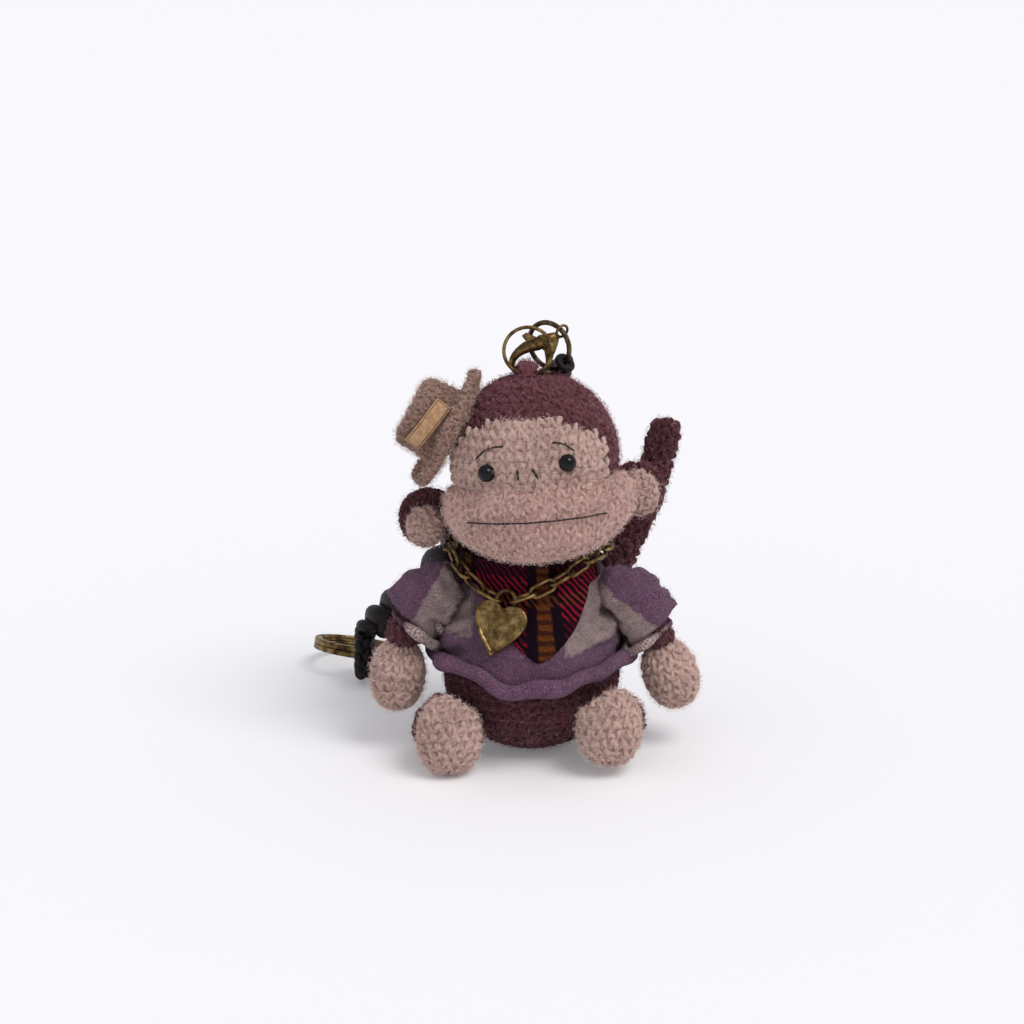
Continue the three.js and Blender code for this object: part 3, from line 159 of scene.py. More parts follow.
class Wiring:
    """Adds nodes to a tree, each with its settings and its inputs' values or links."""

    def __init__(self, tree):
        self.tree = tree

    def put(self, value, socket):
        """Links an output to an input, or sets the input to a plain value."""
        if isinstance(value, bpy.types.NodeSocket):
            self.tree.links.new(value, socket)
        else:
            socket.default_value = value

    def feed(self, node, **values):
        """Fills a node's inputs by their names, with low lines for spaces."""
        for label, value in values.items():
            self.put(value, node.inputs[label.replace("_", " ")])

    def add(self, kind, *values, sockets=None, **settings):
        node = self.tree.nodes.new(kind)
        for name, value in settings.items():
            setattr(node, name, value)
        for place, value in [*enumerate(values), *(sockets or {}).items()]:
            if value is not None:
                self.put(value, node.inputs[place])
        return node

    def math(self, operation, *values):
        return self.add("ShaderNodeMath", *values, operation=operation).outputs[0]

    def plus(self, first, second):
        return self.math("ADD", first, second)

    def minus(self, first, second):
        return self.math("SUBTRACT", first, second)

    def times(self, first, second):
        return self.math("MULTIPLY", first, second)

    def over(self, first, second):
        return self.math("DIVIDE", first, second)

    def away(self, value, centre):
        """How far a value is from a centre."""
        return self.math("ABSOLUTE", self.minus(value, centre))

    def peak(self, value, steepness=2.0):
        """Rises from 0 to 1 and falls back to 0, by default while the value goes from 0 to 1."""
        return self.minus(1.0, self.away(self.times(value, steepness), 1.0))

    def vector(self, x, y, z):
        return self.add("ShaderNodeCombineXYZ", x, y, z).outputs[0]

    def parts(self, vector):
        return self.add("ShaderNodeSeparateXYZ", vector).outputs

    def vector_math(self, operation, first, second=None, scale=None):
        node = self.add("ShaderNodeVectorMath", first, second, sockets={"Scale": scale}, operation=operation)
        return node.outputs[0]

    def mix(self, share, first, second):
        node = self.add("ShaderNodeMix", data_type="RGBA", sockets={0: share, 6: first, 7: second})
        return node.outputs[2]

    def noise(self, vector, scale, detail=2.0, roughness=0.5, distortion=0.0):
        node = self.add("ShaderNodeTexNoise", sockets={
            "Vector": vector, "Scale": scale, "Detail": detail, "Roughness": roughness, "Distortion": distortion})
        return node.outputs[0]

    def ramp(self, value, low, high, to_low=0.0, to_high=1.0):
        return self.add("ShaderNodeMapRange", value, low, high, to_low, to_high, clamp=True).outputs[0]

    def place(self):
        """Where a shaded point is on its object."""
        return self.add("ShaderNodeTexCoord").outputs["Object"]

    def cloth_map(self):
        """Where a shaded point is on its cloth's own map."""
        return self.add("ShaderNodeUVMap", uv_map="Stitches").outputs[0]


def rgba(red, green, blue):
    """A colour given as it looks on a screen, 0 to 255, as the linear values that Blender works in."""
    shares = [c / 255 for c in (red, green, blue)]
    return (*((c / 12.92) if c <= 0.04045 else ((c + 0.055) / 1.055) ** 2.4 for c in shares), 1.0)


def new_group(name, kind, inputs, outputs):
    """A node group, its wiring, its input sockets and its output node.

    Each input is (name, kind of socket, default), and each output (name, kind of socket).
    """
    group = bpy.data.node_groups.new(name, kind)
    for label, socket_kind, default in inputs:
        socket = group.interface.new_socket(label, in_out="INPUT", socket_type="NodeSocket" + socket_kind)
        if default is not None:
            socket.default_value = default
    for label, socket_kind in outputs:
        group.interface.new_socket(label, in_out="OUTPUT", socket_type="NodeSocket" + socket_kind)
    start = group.nodes.new("NodeGroupInput")
    end = group.nodes.new("NodeGroupOutput")
    return group, Wiring(group), start.outputs, end


BUILT = {}


def built(maker):
    """The node group that a maker makes, built on first use."""
    if maker not in BUILT:
        BUILT[maker] = maker()
    return BUILT[maker]


# Shader groups

def wool_yarn():
    """Colour and relief of matted wool: broad mottling, painted shade in the hollows, paler single fibres."""
    group, wire, given, end = new_group("Wool yarn", "ShaderNodeTree", [
        ("Vector", "Vector", None), ("Colour", "Color", None), ("Shade", "Color", None), ("Light", "Color", None),
        ("Mottle size", "Float", 0.008), ("Fibre size", "Float", 0.0006),
    ], [("Colour", "Color"), ("Height", "Float")])
    broad = wire.noise(given["Vector"], wire.over(1.0, given["Mottle size"]), 3.0, 0.6)
    clumps = wire.noise(given["Vector"], wire.over(0.4, given["Fibre size"]), 3.0, 0.65, 0.6)
    fibres = wire.noise(given["Vector"], wire.over(1.6, given["Fibre size"]), 4.0, 0.7, 1.4)
    colour = given["Colour"]
    # The broad mottling in the Shade tone is the wool's own colour at random; the Shade tone where the clumps and
    # fibres sink is painted shade in their hollows
    for pattern, low, high, share, tone in [(broad, 0.38, 0.66, 0.45, "Shade"), (clumps, 0.52, 0.36, 0.7, "Shade"),
                                            (fibres, 0.5, 0.66, 0.7, "Light"), (fibres, 0.44, 0.32, 0.6, "Shade")]:
        colour = wire.mix(wire.times(wire.ramp(pattern, low, high), share), colour, given[tone])
    wire.feed(end, Colour=colour, Height=wire.plus(wire.times(clumps, 0.7), wire.times(fibres, 0.45)))
    return group


def jersey_knit():
    """The columns of small V loops of a fine jersey, from a cloth's own map in stitches."""
    group, wire, given, end = new_group("Jersey knit", "ShaderNodeTree", [
        ("Vector", "Vector", None), ("Wobble", "Float", 0.16),
    ], [("Height", "Float"), ("Gap", "Float")])
    sway = wire.noise(given["Vector"], 0.9, 2.0)
    aslant = wire.vector(wire.minus(sway, 0.5), wire.minus(0.5, sway), 0.0)
    swing = wire.vector_math("SCALE", aslant, scale=wire.times(given["Wobble"], 6.0))
    parts = wire.parts(wire.vector_math("ADD", given["Vector"], swing))
    aside = wire.away(wire.math("FRACT", parts[0]), 0.5)
    rise = wire.math("FRACT", wire.minus(parts[1], wire.times(aside, 1.3)))
    loop = wire.times(wire.math("POWER", wire.peak(aside, 4.0), 0.6), wire.math("POWER", wire.peak(rise), 0.5))
    # Gap is 1 in the hollows between the loops, where the knit gets its painted shade
    wire.feed(end, Height=loop, Gap=wire.ramp(loop, 0.5, 0.15))
    return group


def tartan_twill():
    """A dark tartan in twill, from the cloth's map in millimetres: red streaks in bands and ochre stripes."""
    group, wire, given, end = new_group("Tartan twill", "ShaderNodeTree", [
        ("Vector", "Vector", None), ("Ground", "Color", None), ("Red", "Color", None), ("Ochre", "Color", None),
        ("Yarn width", "Float", 0.62),
    ], [("Colour", "Color"), ("Height", "Float")])
    parts = wire.parts(given["Vector"])
    wander = wire.times(wire.minus(wire.noise(given["Vector"], 0.35, 2.0), 0.5), 0.9)
    across, up = wire.plus(parts[0], wander), wire.plus(parts[1], wander)
    ends, picks = wire.over(across, given["Yarn width"]), wire.over(up, given["Yarn width"])
    rib = wire.peak(wire.math("FRACT", wire.over(wire.plus(wire.times(ends, 1.15), picks), 2.0)))
    streak = wire.ramp(rib, 0.48, 0.64)
    fibre = wire.noise(given["Vector"], 3.2, 3.0, 0.7)

    def from_line(place, repeat, shift, line=0.5):
        """How far a place is from a line that repeats, as a share of the repeat."""
        return wire.away(wire.math("FRACT", wire.plus(wire.over(place, repeat), shift)), line)

    red_warp = wire.math("LESS_THAN", from_line(across, TARTAN_REPEAT_ACROSS, 0.0), 0.33)
    red_weft = wire.math("LESS_THAN", from_line(up, TARTAN_REPEAT_UP, 0.0, 0.42), 0.36)
    ochre_warp = wire.ramp(from_line(across, TARTAN_REPEAT_ACROSS, 0.5), 0.082, 0.062)
    ochre_weft = wire.ramp(from_line(up, TARTAN_REPEAT_UP, 0.12), 0.09, 0.07)
    red_share = wire.times(streak, wire.times(red_warp, wire.ramp(red_weft, 0.0, 1.0, 0.25, 1.0)))
    red_share = wire.times(red_share, wire.ramp(fibre, 0.3, 0.55))
    bars = wire.math("SINE", wire.times(picks, math.pi))
    ochre_share = wire.times(ochre_warp, wire.ramp(bars, -0.6, 0.5, 0.3, 0.95))
    ochre_share = wire.times(ochre_share, wire.ramp(fibre, 0.35, 0.6, 0.5, 1.0))
    colour = wire.mix(red_share, given["Ground"], given["Red"])
    colour = wire.mix(ochre_share, colour, given["Ochre"])
    colour = wire.mix(wire.times(wire.times(ochre_weft, streak), 0.55), colour, given["Ochre"])
    colour = wire.mix(wire.ramp(fibre, 0.6, 0.42, 0.0, 0.45), colour, given["Ground"])
    wire.feed(end, Colour=colour, Height=wire.plus(rib, wire.times(fibre, 0.5)))
    return group


def worn_metal():
    """Aged brass: dark tarnish in broad patches, brighter rubbed metal, small pits."""
    group, wire, given, end = new_group("Worn metal", "ShaderNodeTree", [
        ("Vector", "Vector", None), ("Metal", "Color", None), ("Rubbed", "Color", None), ("Tarnish", "Color", None),
        ("Patch size", "Float", 0.003),
    ], [("Colour", "Color"), ("Roughness", "Float"), ("Height", "Float")])
    patch = wire.noise(given["Vector"], wire.over(1.0, given["Patch size"]), 4.0, 0.6)
    grain = wire.noise(given["Vector"], wire.over(6.0, given["Patch size"]), 3.0, 0.7)
    dark = wire.ramp(patch, 0.5, 0.35)
    bright = wire.ramp(wire.plus(patch, wire.times(grain, 0.3)), 0.66, 0.82)
    colour = wire.mix(wire.times(dark, 0.8), given["Metal"], given["Tarnish"])
    colour = wire.mix(wire.times(bright, 0.75), colour, given["Rubbed"])
    wire.feed(end, Colour=colour, Roughness=wire.ramp(wire.plus(dark, grain), 0.3, 1.3, 0.32, 0.6),
              Height=wire.plus(patch, wire.times(grain, 0.35)))
    return group


def leather_grain():
    """Fine pebbled leather with rubbed grey ridges and darker creases."""
    group, wire, given, end = new_group("Leather grain", "ShaderNodeTree", [
        ("Vector", "Vector", None), ("Leather", "Color", None), ("Rubbed", "Color", None),
        ("Grain size", "Float", 0.0008),
    ], [("Colour", "Color"), ("Roughness", "Float"), ("Height", "Float")])
    cells = wire.add("ShaderNodeTexVoronoi", sockets={
        "Vector": given["Vector"], "Scale": wire.over(1.0, given["Grain size"])}).outputs[0]
    wear = wire.noise(given["Vector"], wire.over(0.12, given["Grain size"]), 4.0, 0.6)
    rubbed = wire.times(wire.ramp(wear, 0.5, 0.72), wire.ramp(cells, 0.7, 0.2))
    wire.feed(end, Colour=wire.mix(wire.times(rubbed, 0.7), given["Leather"], given["Rubbed"]),
              Roughness=wire.ramp(wear, 0.3, 0.7, 0.36, 0.55),
              Height=wire.plus(wire.ramp(cells, 0.9, 0.1), wire.times(wear, 0.8)))
    return group


def use_group(wire, maker, **values):
    node = wire.add("ShaderNodeGroup", node_tree=built(maker))
    wire.feed(node, **values)
    return node.outputs


# Materials

def new_material(name):
    """An empty node material, its wiring and its Principled shader."""
    made = bpy.data.materials.new(name)
    made.use_nodes = True
    shader = next(n for n in made.node_tree.nodes if n.type == "BSDF_PRINCIPLED")
    return made, Wiring(made.node_tree), shader


def bump(wire, shader, height, strength, distance):
    node = wire.add("ShaderNodeBump", sockets={"Strength": strength, "Distance": distance, "Height": height})
    wire.feed(shader, Normal=node.outputs[0])


def wool(name, colour, shade, light):
    """Matted wool on Object coordinates."""
    made, wire, shader = new_material(name)
    yarn = use_group(wire, wool_yarn, Vector=wire.place(), Colour=colour, Shade=shade, Light=light,
                     Mottle_size=8 * MM, Fibre_size=0.5 * MM)
    wire.feed(shader, Base_Color=yarn["Colour"], Roughness=0.95, Specular_IOR_Level=0.15,
              Sheen_Weight=0.12, Sheen_Roughness=0.6)
    bump(wire, shader, yarn["Height"], 1.0, 0.55 * MM)
    return made


def fibres(name, colour, light):
    """Single loose fibres, paler than the yarn that they come from: painted light for the glow of light through the
    thin fibres.
    """
    made, wire, shader = new_material(name)
    tone = wire.ramp(wire.noise(wire.place(), 700.0, 2.0), 0.4, 0.6)
    wire.feed(shader, Base_Color=wire.mix(tone, colour, light), Roughness=0.8, Specular_IOR_Level=0.1)
    return made


def knit(name, *tones):
    """Fine jersey on the cloth's own map: a colour, its shade and its light, and three more where the band is 1."""
    made, wire, shader = new_material(name)
    place = wire.place()
    band = wire.add("ShaderNodeAttribute", attribute_name="Band").outputs["Fac"]
    wander = wire.times(wire.minus(wire.noise(place, 420.0, 4.0, 0.65), 0.5), 0.4)
    share = wire.ramp(wire.plus(band, wander), 0.45, 0.55)
    yarns = [use_group(wire, wool_yarn, Vector=place, Colour=colour, Shade=shade, Light=light,
                       Mottle_size=5 * MM, Fibre_size=0.45 * MM) for colour, shade, light in (tones[:3], tones[3:])]
    loops = use_group(wire, jersey_knit, Vector=wire.cloth_map(), Wobble=0.16)
    colour = wire.mix(share, yarns[0]["Colour"], yarns[1]["Colour"])
    # Nearly black painted shade in the gaps between the loops
    wire.feed(shader, Base_Color=wire.mix(wire.times(loops["Gap"], 0.62), colour, KNIT_GAP_SHADE), Roughness=0.92,
              Specular_IOR_Level=0.15, Sheen_Weight=0.15, Sheen_Roughness=0.55)
    bump(wire, shader, wire.plus(loops["Height"], wire.times(yarns[0]["Height"], 0.6)), 1.0, 0.45 * MM)
    return made


def tartan(name, ground, red, ochre):
    made, wire, shader = new_material(name)
    weave = use_group(wire, tartan_twill, Vector=wire.cloth_map(), Ground=ground, Red=red, Ochre=ochre, Yarn_width=1.0)
    wire.feed(shader, Base_Color=weave["Colour"], Roughness=0.9, Specular_IOR_Level=0.08)
    bump(wire, shader, weave["Height"], 0.7, 0.22 * MM)
    return made


def metal(name, base, rubbed, tarnish):
    made, wire, shader = new_material(name)
    worn = use_group(wire, worn_metal, Vector=wire.place(), Metal=base, Rubbed=rubbed, Tarnish=tarnish,
                     Patch_size=2.2 * MM)
    wire.feed(shader, Base_Color=worn["Colour"], Roughness=worn["Roughness"], Metallic=1.0)
    bump(wire, shader, worn["Height"], 0.35, 0.12 * MM)
    return made


def leather(name, plain, rubbed):
    made, wire, shader = new_material(name)
    skin = use_group(wire, leather_grain, Vector=wire.place(), Leather=plain, Rubbed=rubbed, Grain_size=0.7 * MM)
    wire.feed(shader, Base_Color=skin["Colour"], Roughness=skin["Roughness"], Specular_IOR_Level=0.22)
    bump(wire, shader, skin["Height"], 0.5, 0.15 * MM)
    return made


def bead(name, dark, light):
    made, wire, shader = new_material(name)
    smear = wire.noise(wire.place(), 900.0, 2.0)
    wire.feed(shader, Base_Color=wire.mix(smear, dark, light), Roughness=wire.ramp(smear, 0.3, 0.7, 0.06, 0.14),
              Specular_IOR_Level=0.3)
    return made


def thread(name, dark, light):
    made, wire, shader = new_material(name)
    strands = wire.noise(wire.place(), 2600.0, 3.0, 0.6, 0.5)
    wire.feed(shader, Base_Color=wire.mix(strands, dark, light), Roughness=0.8)
    bump(wire, shader, strands, 0.5, 0.1 * MM)
    return made


def cork(name, plain, pale, grain, burnt):
    """Cork with dark grains, and a burnt border from the label's own map."""
    made, wire, shader = new_material(name)
    place = wire.place()
    cells = wire.add("ShaderNodeTexVoronoi", sockets={"Vector": place, "Scale": 1500.0}).outputs["Color"]
    speck = wire.add("ShaderNodeSeparateColor", cells).outputs[0]
    colour = wire.mix(speck, plain, pale)
    colour = wire.mix(wire.ramp(wire.noise(place, 2300.0, 3.0, 0.7), 0.6, 0.72), colour, grain)
    edges = [wire.minus(0.5, wire.away(part, 0.5)) for part in wire.parts(wire.cloth_map())[:2]]
    inside = wire.math("MINIMUM", wire.times(edges[0], LABEL_WIDTH), wire.times(edges[1], LABEL_HEIGHT))
    line = wire.times(wire.ramp(inside, 0.42, 0.5), wire.ramp(inside, 0.68, 0.6))
    border = wire.math("MAXIMUM", wire.ramp(inside, 0.18, 0.05), line)
    wire.feed(shader, Base_Color=wire.mix(wire.times(border, 0.85), colour, burnt), Roughness=0.85)
    bump(wire, shader, wire.minus(speck, border), 0.5, 0.12 * MM)
    return made


# Each finish's maker and colours
FINISHES = {
    # burgundy_wool and head_wool are one yarn in two tones, each partly its own tone and partly painted: darker on the
    # body, limbs, ears and tail as painted shade, lighter on the head and its loop as painted light
    "burgundy_wool": (wool, (94, 42, 50), (46, 16, 22), (146, 92, 100)),
    "head_wool": (wool, (110, 54, 61), (58, 22, 29), (164, 110, 116)),
    "beige_wool": (wool, (224, 188, 175), (154, 116, 106), (246, 224, 212)),
    "muzzle_wool": (wool, (230, 187, 175), (160, 118, 112), (246, 220, 210)),
    "hat_wool": (wool, (172, 134, 118), (104, 76, 66), (220, 190, 174)),
    # The loose fibres' colours are paler than their yarns: painted light for the glow of light through the thin fibres
    "burgundy_wool_fibres": (fibres, (128, 66, 76), (196, 148, 154)),
    "head_wool_fibres": (fibres, (122, 62, 72), (188, 138, 146)),
    "beige_wool_fibres": (fibres, (226, 194, 182), (250, 232, 222)),
    "muzzle_wool_fibres": (fibres, (228, 190, 180), (250, 230, 222)),
    "hat_wool_fibres": (fibres, (190, 156, 140), (236, 214, 200)),
    "purple_wool_fibres": (fibres, (146, 100, 134), (206, 174, 196)),
    "purple_knit": (knit, (140, 86, 122), (80, 44, 72), (200, 160, 188),
                    (214, 184, 178), (146, 118, 116), (240, 220, 212)),
    "tartan_cloth": (tartan, (20, 6, 16), (158, 20, 50), (118, 64, 22)),
    "antique_brass": (metal, (122, 98, 60), (188, 160, 108), (54, 40, 26)),
    "dark_brass": (metal, (84, 70, 54), (150, 132, 104), (34, 28, 24)),
    "black_leather": (leather, (26, 19, 20), (74, 66, 66)),
    "black_bead": (bead, (3, 3, 4), (8, 8, 10)),
    "black_thread": (thread, (12, 10, 10), (48, 42, 40)),
    "cork": (cork, (176, 134, 96), (205, 165, 124), (96, 62, 40), (40, 22, 16)),
}
MATERIALS = {}


def material(finish):
    """The material of a finish, built on first use; most are the record's material slots."""
    if finish not in MATERIALS:
        maker, *colours = FINISHES[finish]
        MATERIALS[finish] = maker(finish, *(rgba(*colour) for colour in colours))
    return MATERIALS[finish]


# Geometry trees

def stitch_tree():
    """Sets a V of yarn on every point, turned and sized by the point's own attributes."""
    tree, wire, given, end = new_group("Crochet stitches", "GeometryNodeTree", [
        ("Points", "Geometry", None), ("Yarn radius", "Float", 0.23), ("Bulge", "Float", 0.3),
        ("Spread", "Float", 0.44), ("Lumps", "Float", 0.001), ("Lump size", "Float", 0.0012),
        ("Material", "Material", None),
    ], [("Mesh", "Geometry")])
    profile = wire.add("GeometryNodeCurvePrimitiveCircle", sockets={0: 6, 4: given["Yarn radius"]})
    legs = wire.add("GeometryNodeJoinGeometry")
    for side in (-1, 1):
        foot = wire.vector(side * 0.1, -0.36, -0.2)
        knee = wire.vector(wire.times(given["Spread"], side * 0.7), -0.1, wire.times(given["Bulge"], 2.0))
        tip = wire.vector(wire.times(given["Spread"], side * 1.15), 0.34, -0.12)
        path = wire.add("GeometryNodeCurveQuadraticBezier", 4, foot, knee, tip)
        tube = wire.add("GeometryNodeCurveToMesh", path.outputs[0], profile.outputs[0], sockets={3: True})
        wire.put(tube.outputs[0], legs.inputs[0])
    turn = wire.add("GeometryNodeInputNamedAttribute", "Turn", data_type="QUATERNION")
    size = wire.add("GeometryNodeInputNamedAttribute", "Size", data_type="FLOAT_VECTOR")
    placed = wire.add("GeometryNodeInstanceOnPoints", given["Points"], sockets={
        2: legs.outputs[0], 5: turn.outputs[0], 6: size.outputs[0]})
    real = wire.add("GeometryNodeRealizeInstances", placed.outputs[0])
    here = wire.add("GeometryNodeInputPosition").outputs[0]
    lumps = wire.add("ShaderNodeTexNoise", sockets={
        "Vector": here, "Scale": wire.over(1.0, given["Lump size"]), "Detail": 4.0, "Roughness": 0.7})
    centred = wire.vector_math("SUBTRACT", lumps.outputs[1], (0.5, 0.5, 0.5))
    push = wire.vector_math("SCALE", centred, scale=given["Lumps"])
    lumpy = wire.add("GeometryNodeSetPosition", real.outputs[0], sockets={"Offset": push})
    finish_tree(wire, lumpy.outputs[0], given["Material"], end)
    return tree


def fuzz_tree():
    """Scatters short bent flat wool fibres over a surface, with a fixed seed."""
    tree, wire, given, end = new_group("Wool fuzz", "GeometryNodeTree", [
        ("Surface", "Geometry", None), ("Density", "Float", 4.0e5), ("Length", "Float", 0.0016),
        ("Thickness", "Float", 0.00004), ("Seed", "Int", 1), ("Material", "Material", None),
    ], [("Mesh", "Geometry")])
    length = given["Length"]
    points = wire.add("GeometryNodeDistributePointsOnFaces", given["Surface"], sockets={
        4: given["Density"], 6: given["Seed"]})
    root = wire.vector(0.0, 0.0, wire.times(length, -0.15))
    knee = wire.vector(0.0, wire.times(length, 0.3), wire.times(length, 0.8))
    tip = wire.vector(wire.times(length, 0.75), 0.0, wire.times(length, 0.7))
    path = wire.add("GeometryNodeCurveQuadraticBezier", 2, root, knee, tip)
    edges = [wire.vector(wire.times(given["Thickness"], way), 0.0, 0.0) for way in (-1.0, 1.0)]
    profile = wire.add("GeometryNodeCurvePrimitiveLine", *edges)
    strand = wire.add("GeometryNodeCurveToMesh", path.outputs[0], profile.outputs[0])
    tilt = wire.add("FunctionNodeRandomValue", data_type="FLOAT_VECTOR", sockets={
        0: (-1.0, -1.0, -3.14), 1: (1.0, 1.0, 3.14), 8: given["Seed"]})
    turned = wire.add("FunctionNodeEulerToRotation", tilt.outputs[0])
    rotation = wire.add("FunctionNodeRotateRotation", points.outputs["Rotation"], turned.outputs[0],
                        rotation_space="LOCAL")
    size = wire.add("FunctionNodeRandomValue", data_type="FLOAT", sockets={2: 0.45, 3: 1.5, 8: 7})
    placed = wire.add("GeometryNodeInstanceOnPoints", points.outputs[0], sockets={
        2: strand.outputs[0], 5: rotation.outputs[0], 6: size.outputs[1]})
    finish_tree(wire, placed.outputs[0], given["Material"], end)
    return tree


def thread_tree():
    """Makes a round thread along each run of edges, thinner or thicker by the points' own attribute."""
    tree, wire, given, end = new_group("Round thread", "GeometryNodeTree", [
        ("Path", "Geometry", None), ("Sides", "Int", 8), ("Material", "Material", None),
    ], [("Mesh", "Geometry")])
    run = wire.add("GeometryNodeMeshToCurve", given["Path"])
    profile = wire.add("GeometryNodeCurvePrimitiveCircle", sockets={0: given["Sides"], 4: 1.0})
    radius = wire.add("GeometryNodeInputNamedAttribute", "Radius", data_type="FLOAT")
    tube = wire.add("GeometryNodeCurveToMesh", run.outputs[0], profile.outputs[0], sockets={
        2: radius.outputs[0], 3: True})
    finish_tree(wire, tube.outputs[0], given["Material"], end)
    return tree


def finish_tree(wire, geometry, finish, end):
    """Ends a tree with real geometry, shaded smooth, in its material."""
    real = wire.add("GeometryNodeRealizeInstances", geometry)
    smooth = wire.add("GeometryNodeSetShadeSmooth", real.outputs[0])
    painted = wire.add("GeometryNodeSetMaterial", smooth.outputs[0], sockets={2: finish})
    wire.put(painted.outputs[0], end.inputs[0])


# Objects and meshes

def add_object(name, data):
    made = bpy.data.objects.new(name, data)
    bpy.context.scene.collection.objects.link(made)
    return made


def take_mesh(holder):
    """The plain mesh that an object's modifiers make; the object goes."""
    bpy.context.view_layer.update()
    made = bpy.data.meshes.new_from_object(holder.evaluated_get(bpy.context.evaluated_depsgraph_get()))
    bpy.data.objects.remove(holder)
    return made


def run_tree(maker, mesh, **values):
    """The plain mesh that one of the geometry trees makes from a mesh, with its inputs set by name."""
    carrier = add_object("carrier", mesh)
    modifier = carrier.modifiers.new("Tree", "NODES")
    modifier.node_group = built(maker)
    identifiers = {s.name: s.identifier for s in built(maker).interface.items_tree if s.in_out == "INPUT"}
    for name, value in values.items():
        modifier[identifiers[name.replace("_", " ")]] = value
    return take_mesh(carrier)


def mesh_from(name, corners, faces, smooth=True):
    mesh = bpy.data.meshes.new(name)
    mesh.from_pydata([tuple(c) for c in corners], [], faces)
    mesh.polygons.foreach_set("use_smooth", [smooth] * len(mesh.polygons))
    mesh.update()
    return mesh


def join_meshes(name, meshes):
    """One mesh from several, each with its own material slots kept."""
    objects = [add_object(name, mesh) for mesh in meshes]
    with bpy.context.temp_override(active_object=objects[0], selected_editable_objects=objects):
        bpy.ops.object.join()
    mesh = objects[0].data
    bpy.data.objects.remove(objects[0])
    mesh.name = name
    return mesh


def face_outwards(mesh):
    build = bmesh.new()
    build.from_mesh(mesh)
    bmesh.ops.recalc_face_normals(build, faces=build.faces)
    build.to_mesh(mesh)
    build.free()


def rest_on_floor(mesh):
    """Presses flat what would be below the floor."""
    places = np.empty(len(mesh.vertices) * 3, np.float32)
    mesh.vertices.foreach_get("co", places)
    places[2::3] = np.maximum(places[2::3], FLOOR_GAP)
    mesh.vertices.foreach_set("co", places)


def tube_faces(rows, count):
    """The faces between rows of points that go round."""
    return [(i * count + j, i * count + (j + 1) % count, (i + 1) * count + (j + 1) % count, (i + 1) * count + j)
            for i in range(rows - 1) for j in range(count)]


def slab_faces(along, across):
    """The faces of a slab of two layers, each of so many squares along and across, with its rim."""
    wide, count = across + 1, (along + 1) * (across + 1)
    faces = []
    for i in range(along):
        for a in range(i * wide, i * wide + across):
            quad = (a, a + 1, a + wide + 1, a + wide)
            faces += [quad, tuple(c + count for c in quad[::-1])]
    rim = ([(0, j) for j in range(across)] + [(i, across) for i in range(along)]
           + [(along, j) for j in range(across, 0, -1)] + [(i, 0) for i in range(along, 0, -1)])
    rim = [i * wide + j for i, j in rim]
    return faces + [(a, a + count, b + count, b) for a, b in zip(rim, rim[1:] + rim[:1])]


def closed_mesh(name, grid):
    """A closed skin over a grid whose first and last rows are its poles."""
    rows, count = grid.shape[:2]
    corners = [tuple(grid[0, 0])] + [tuple(p) for row in grid[1:-1] for p in row] + [tuple(grid[-1, 0])]
    end = len(corners) - 1

    def at(i, j):
        return 1 + (i - 1) * count + j % count

    faces = [(0, at(1, j + 1), at(1, j)) for j in range(count)]
    for i in range(1, rows - 2):
        faces += [(at(i, j), at(i, j + 1), at(i + 1, j + 1), at(i + 1, j)) for j in range(count)]
    faces += [(end, at(rows - 2, j), at(rows - 2, j + 1)) for j in range(count)]
    return mesh_from(name, corners, faces)


def point_mesh(places, turns, sizes):
    mesh = bpy.data.meshes.new("points")
    mesh.from_pydata([tuple(p) for p in places], [], [])
    turn = mesh.attributes.new("Turn", "QUATERNION", "POINT")
    turn.data.foreach_set("value", np.asarray(turns, np.float32).ravel())
    size = mesh.attributes.new("Size", "FLOAT_VECTOR", "POINT")
    size.data.foreach_set("vector", np.asarray(sizes, np.float32).ravel())
    return mesh


def path_mesh(runs):
    """Points joined in runs, each point with its own thickness: [(points, radii), ...]."""
    corners, edges, radii = [], [], []
    for points, thick in runs:
        first = len(corners)
        corners += [tuple(p) for p in points]
        radii += list(np.broadcast_to(thick, len(points)))
        edges += [(first + i, first + i + 1) for i in range(len(points) - 1)]
    mesh = bpy.data.meshes.new("paths")
    mesh.from_pydata(corners, edges, [])
    mesh.attributes.new("Radius", "FLOAT", "POINT").data.foreach_set("value", np.array(radii, np.float32))
    return mesh


def piece(name, mesh, slot, body, replaces=()):
    """A finished piece: named, painted, riding on its body and standing for its nodes."""
    if not mesh.materials:
        mesh.materials.append(material(slot))
    obj = add_object(name, mesh)
    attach(obj, body)
    if replaces:
        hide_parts(*replaces)
    return obj


# Forms

def unit(rows):
    return rows / np.maximum(np.linalg.norm(rows, axis=-1, keepdims=True), 1e-9)


def running_total(steps):
    return np.concatenate([[0], np.cumsum(steps)])


def step_lengths(path):
    return np.linalg.norm(np.diff(path, axis=0), axis=-1)


def solid_of(node):
    """Something to cast rays at: the outside of one of the frame's nodes."""
    mesh = frame["nodes"][node].data
    mesh.calc_loop_triangles()
    return BVHTree.FromPolygons([v.co.copy() for v in mesh.vertices], [t.vertices[:] for t in mesh.loop_triangles])


def square_to(along, aside):
    """The way nearest to `aside` that is square to `along`."""
    return (Vector(aside) - along * Vector(aside).dot(along)).normalized()


def spine_frames(spine, aside):
    """At each point of a path: the point, the way along, and two ways across, the first near `aside`."""
    points = [Vector(p) for p in spine]
    made = []
    for i, point in enumerate(points):
        along = (points[min(i + 1, len(points) - 1)] - points[max(i - 1, 0)]).normalized()
        across = square_to(along, aside)
        made.append((point, along, across, along.cross(across)))
    return made


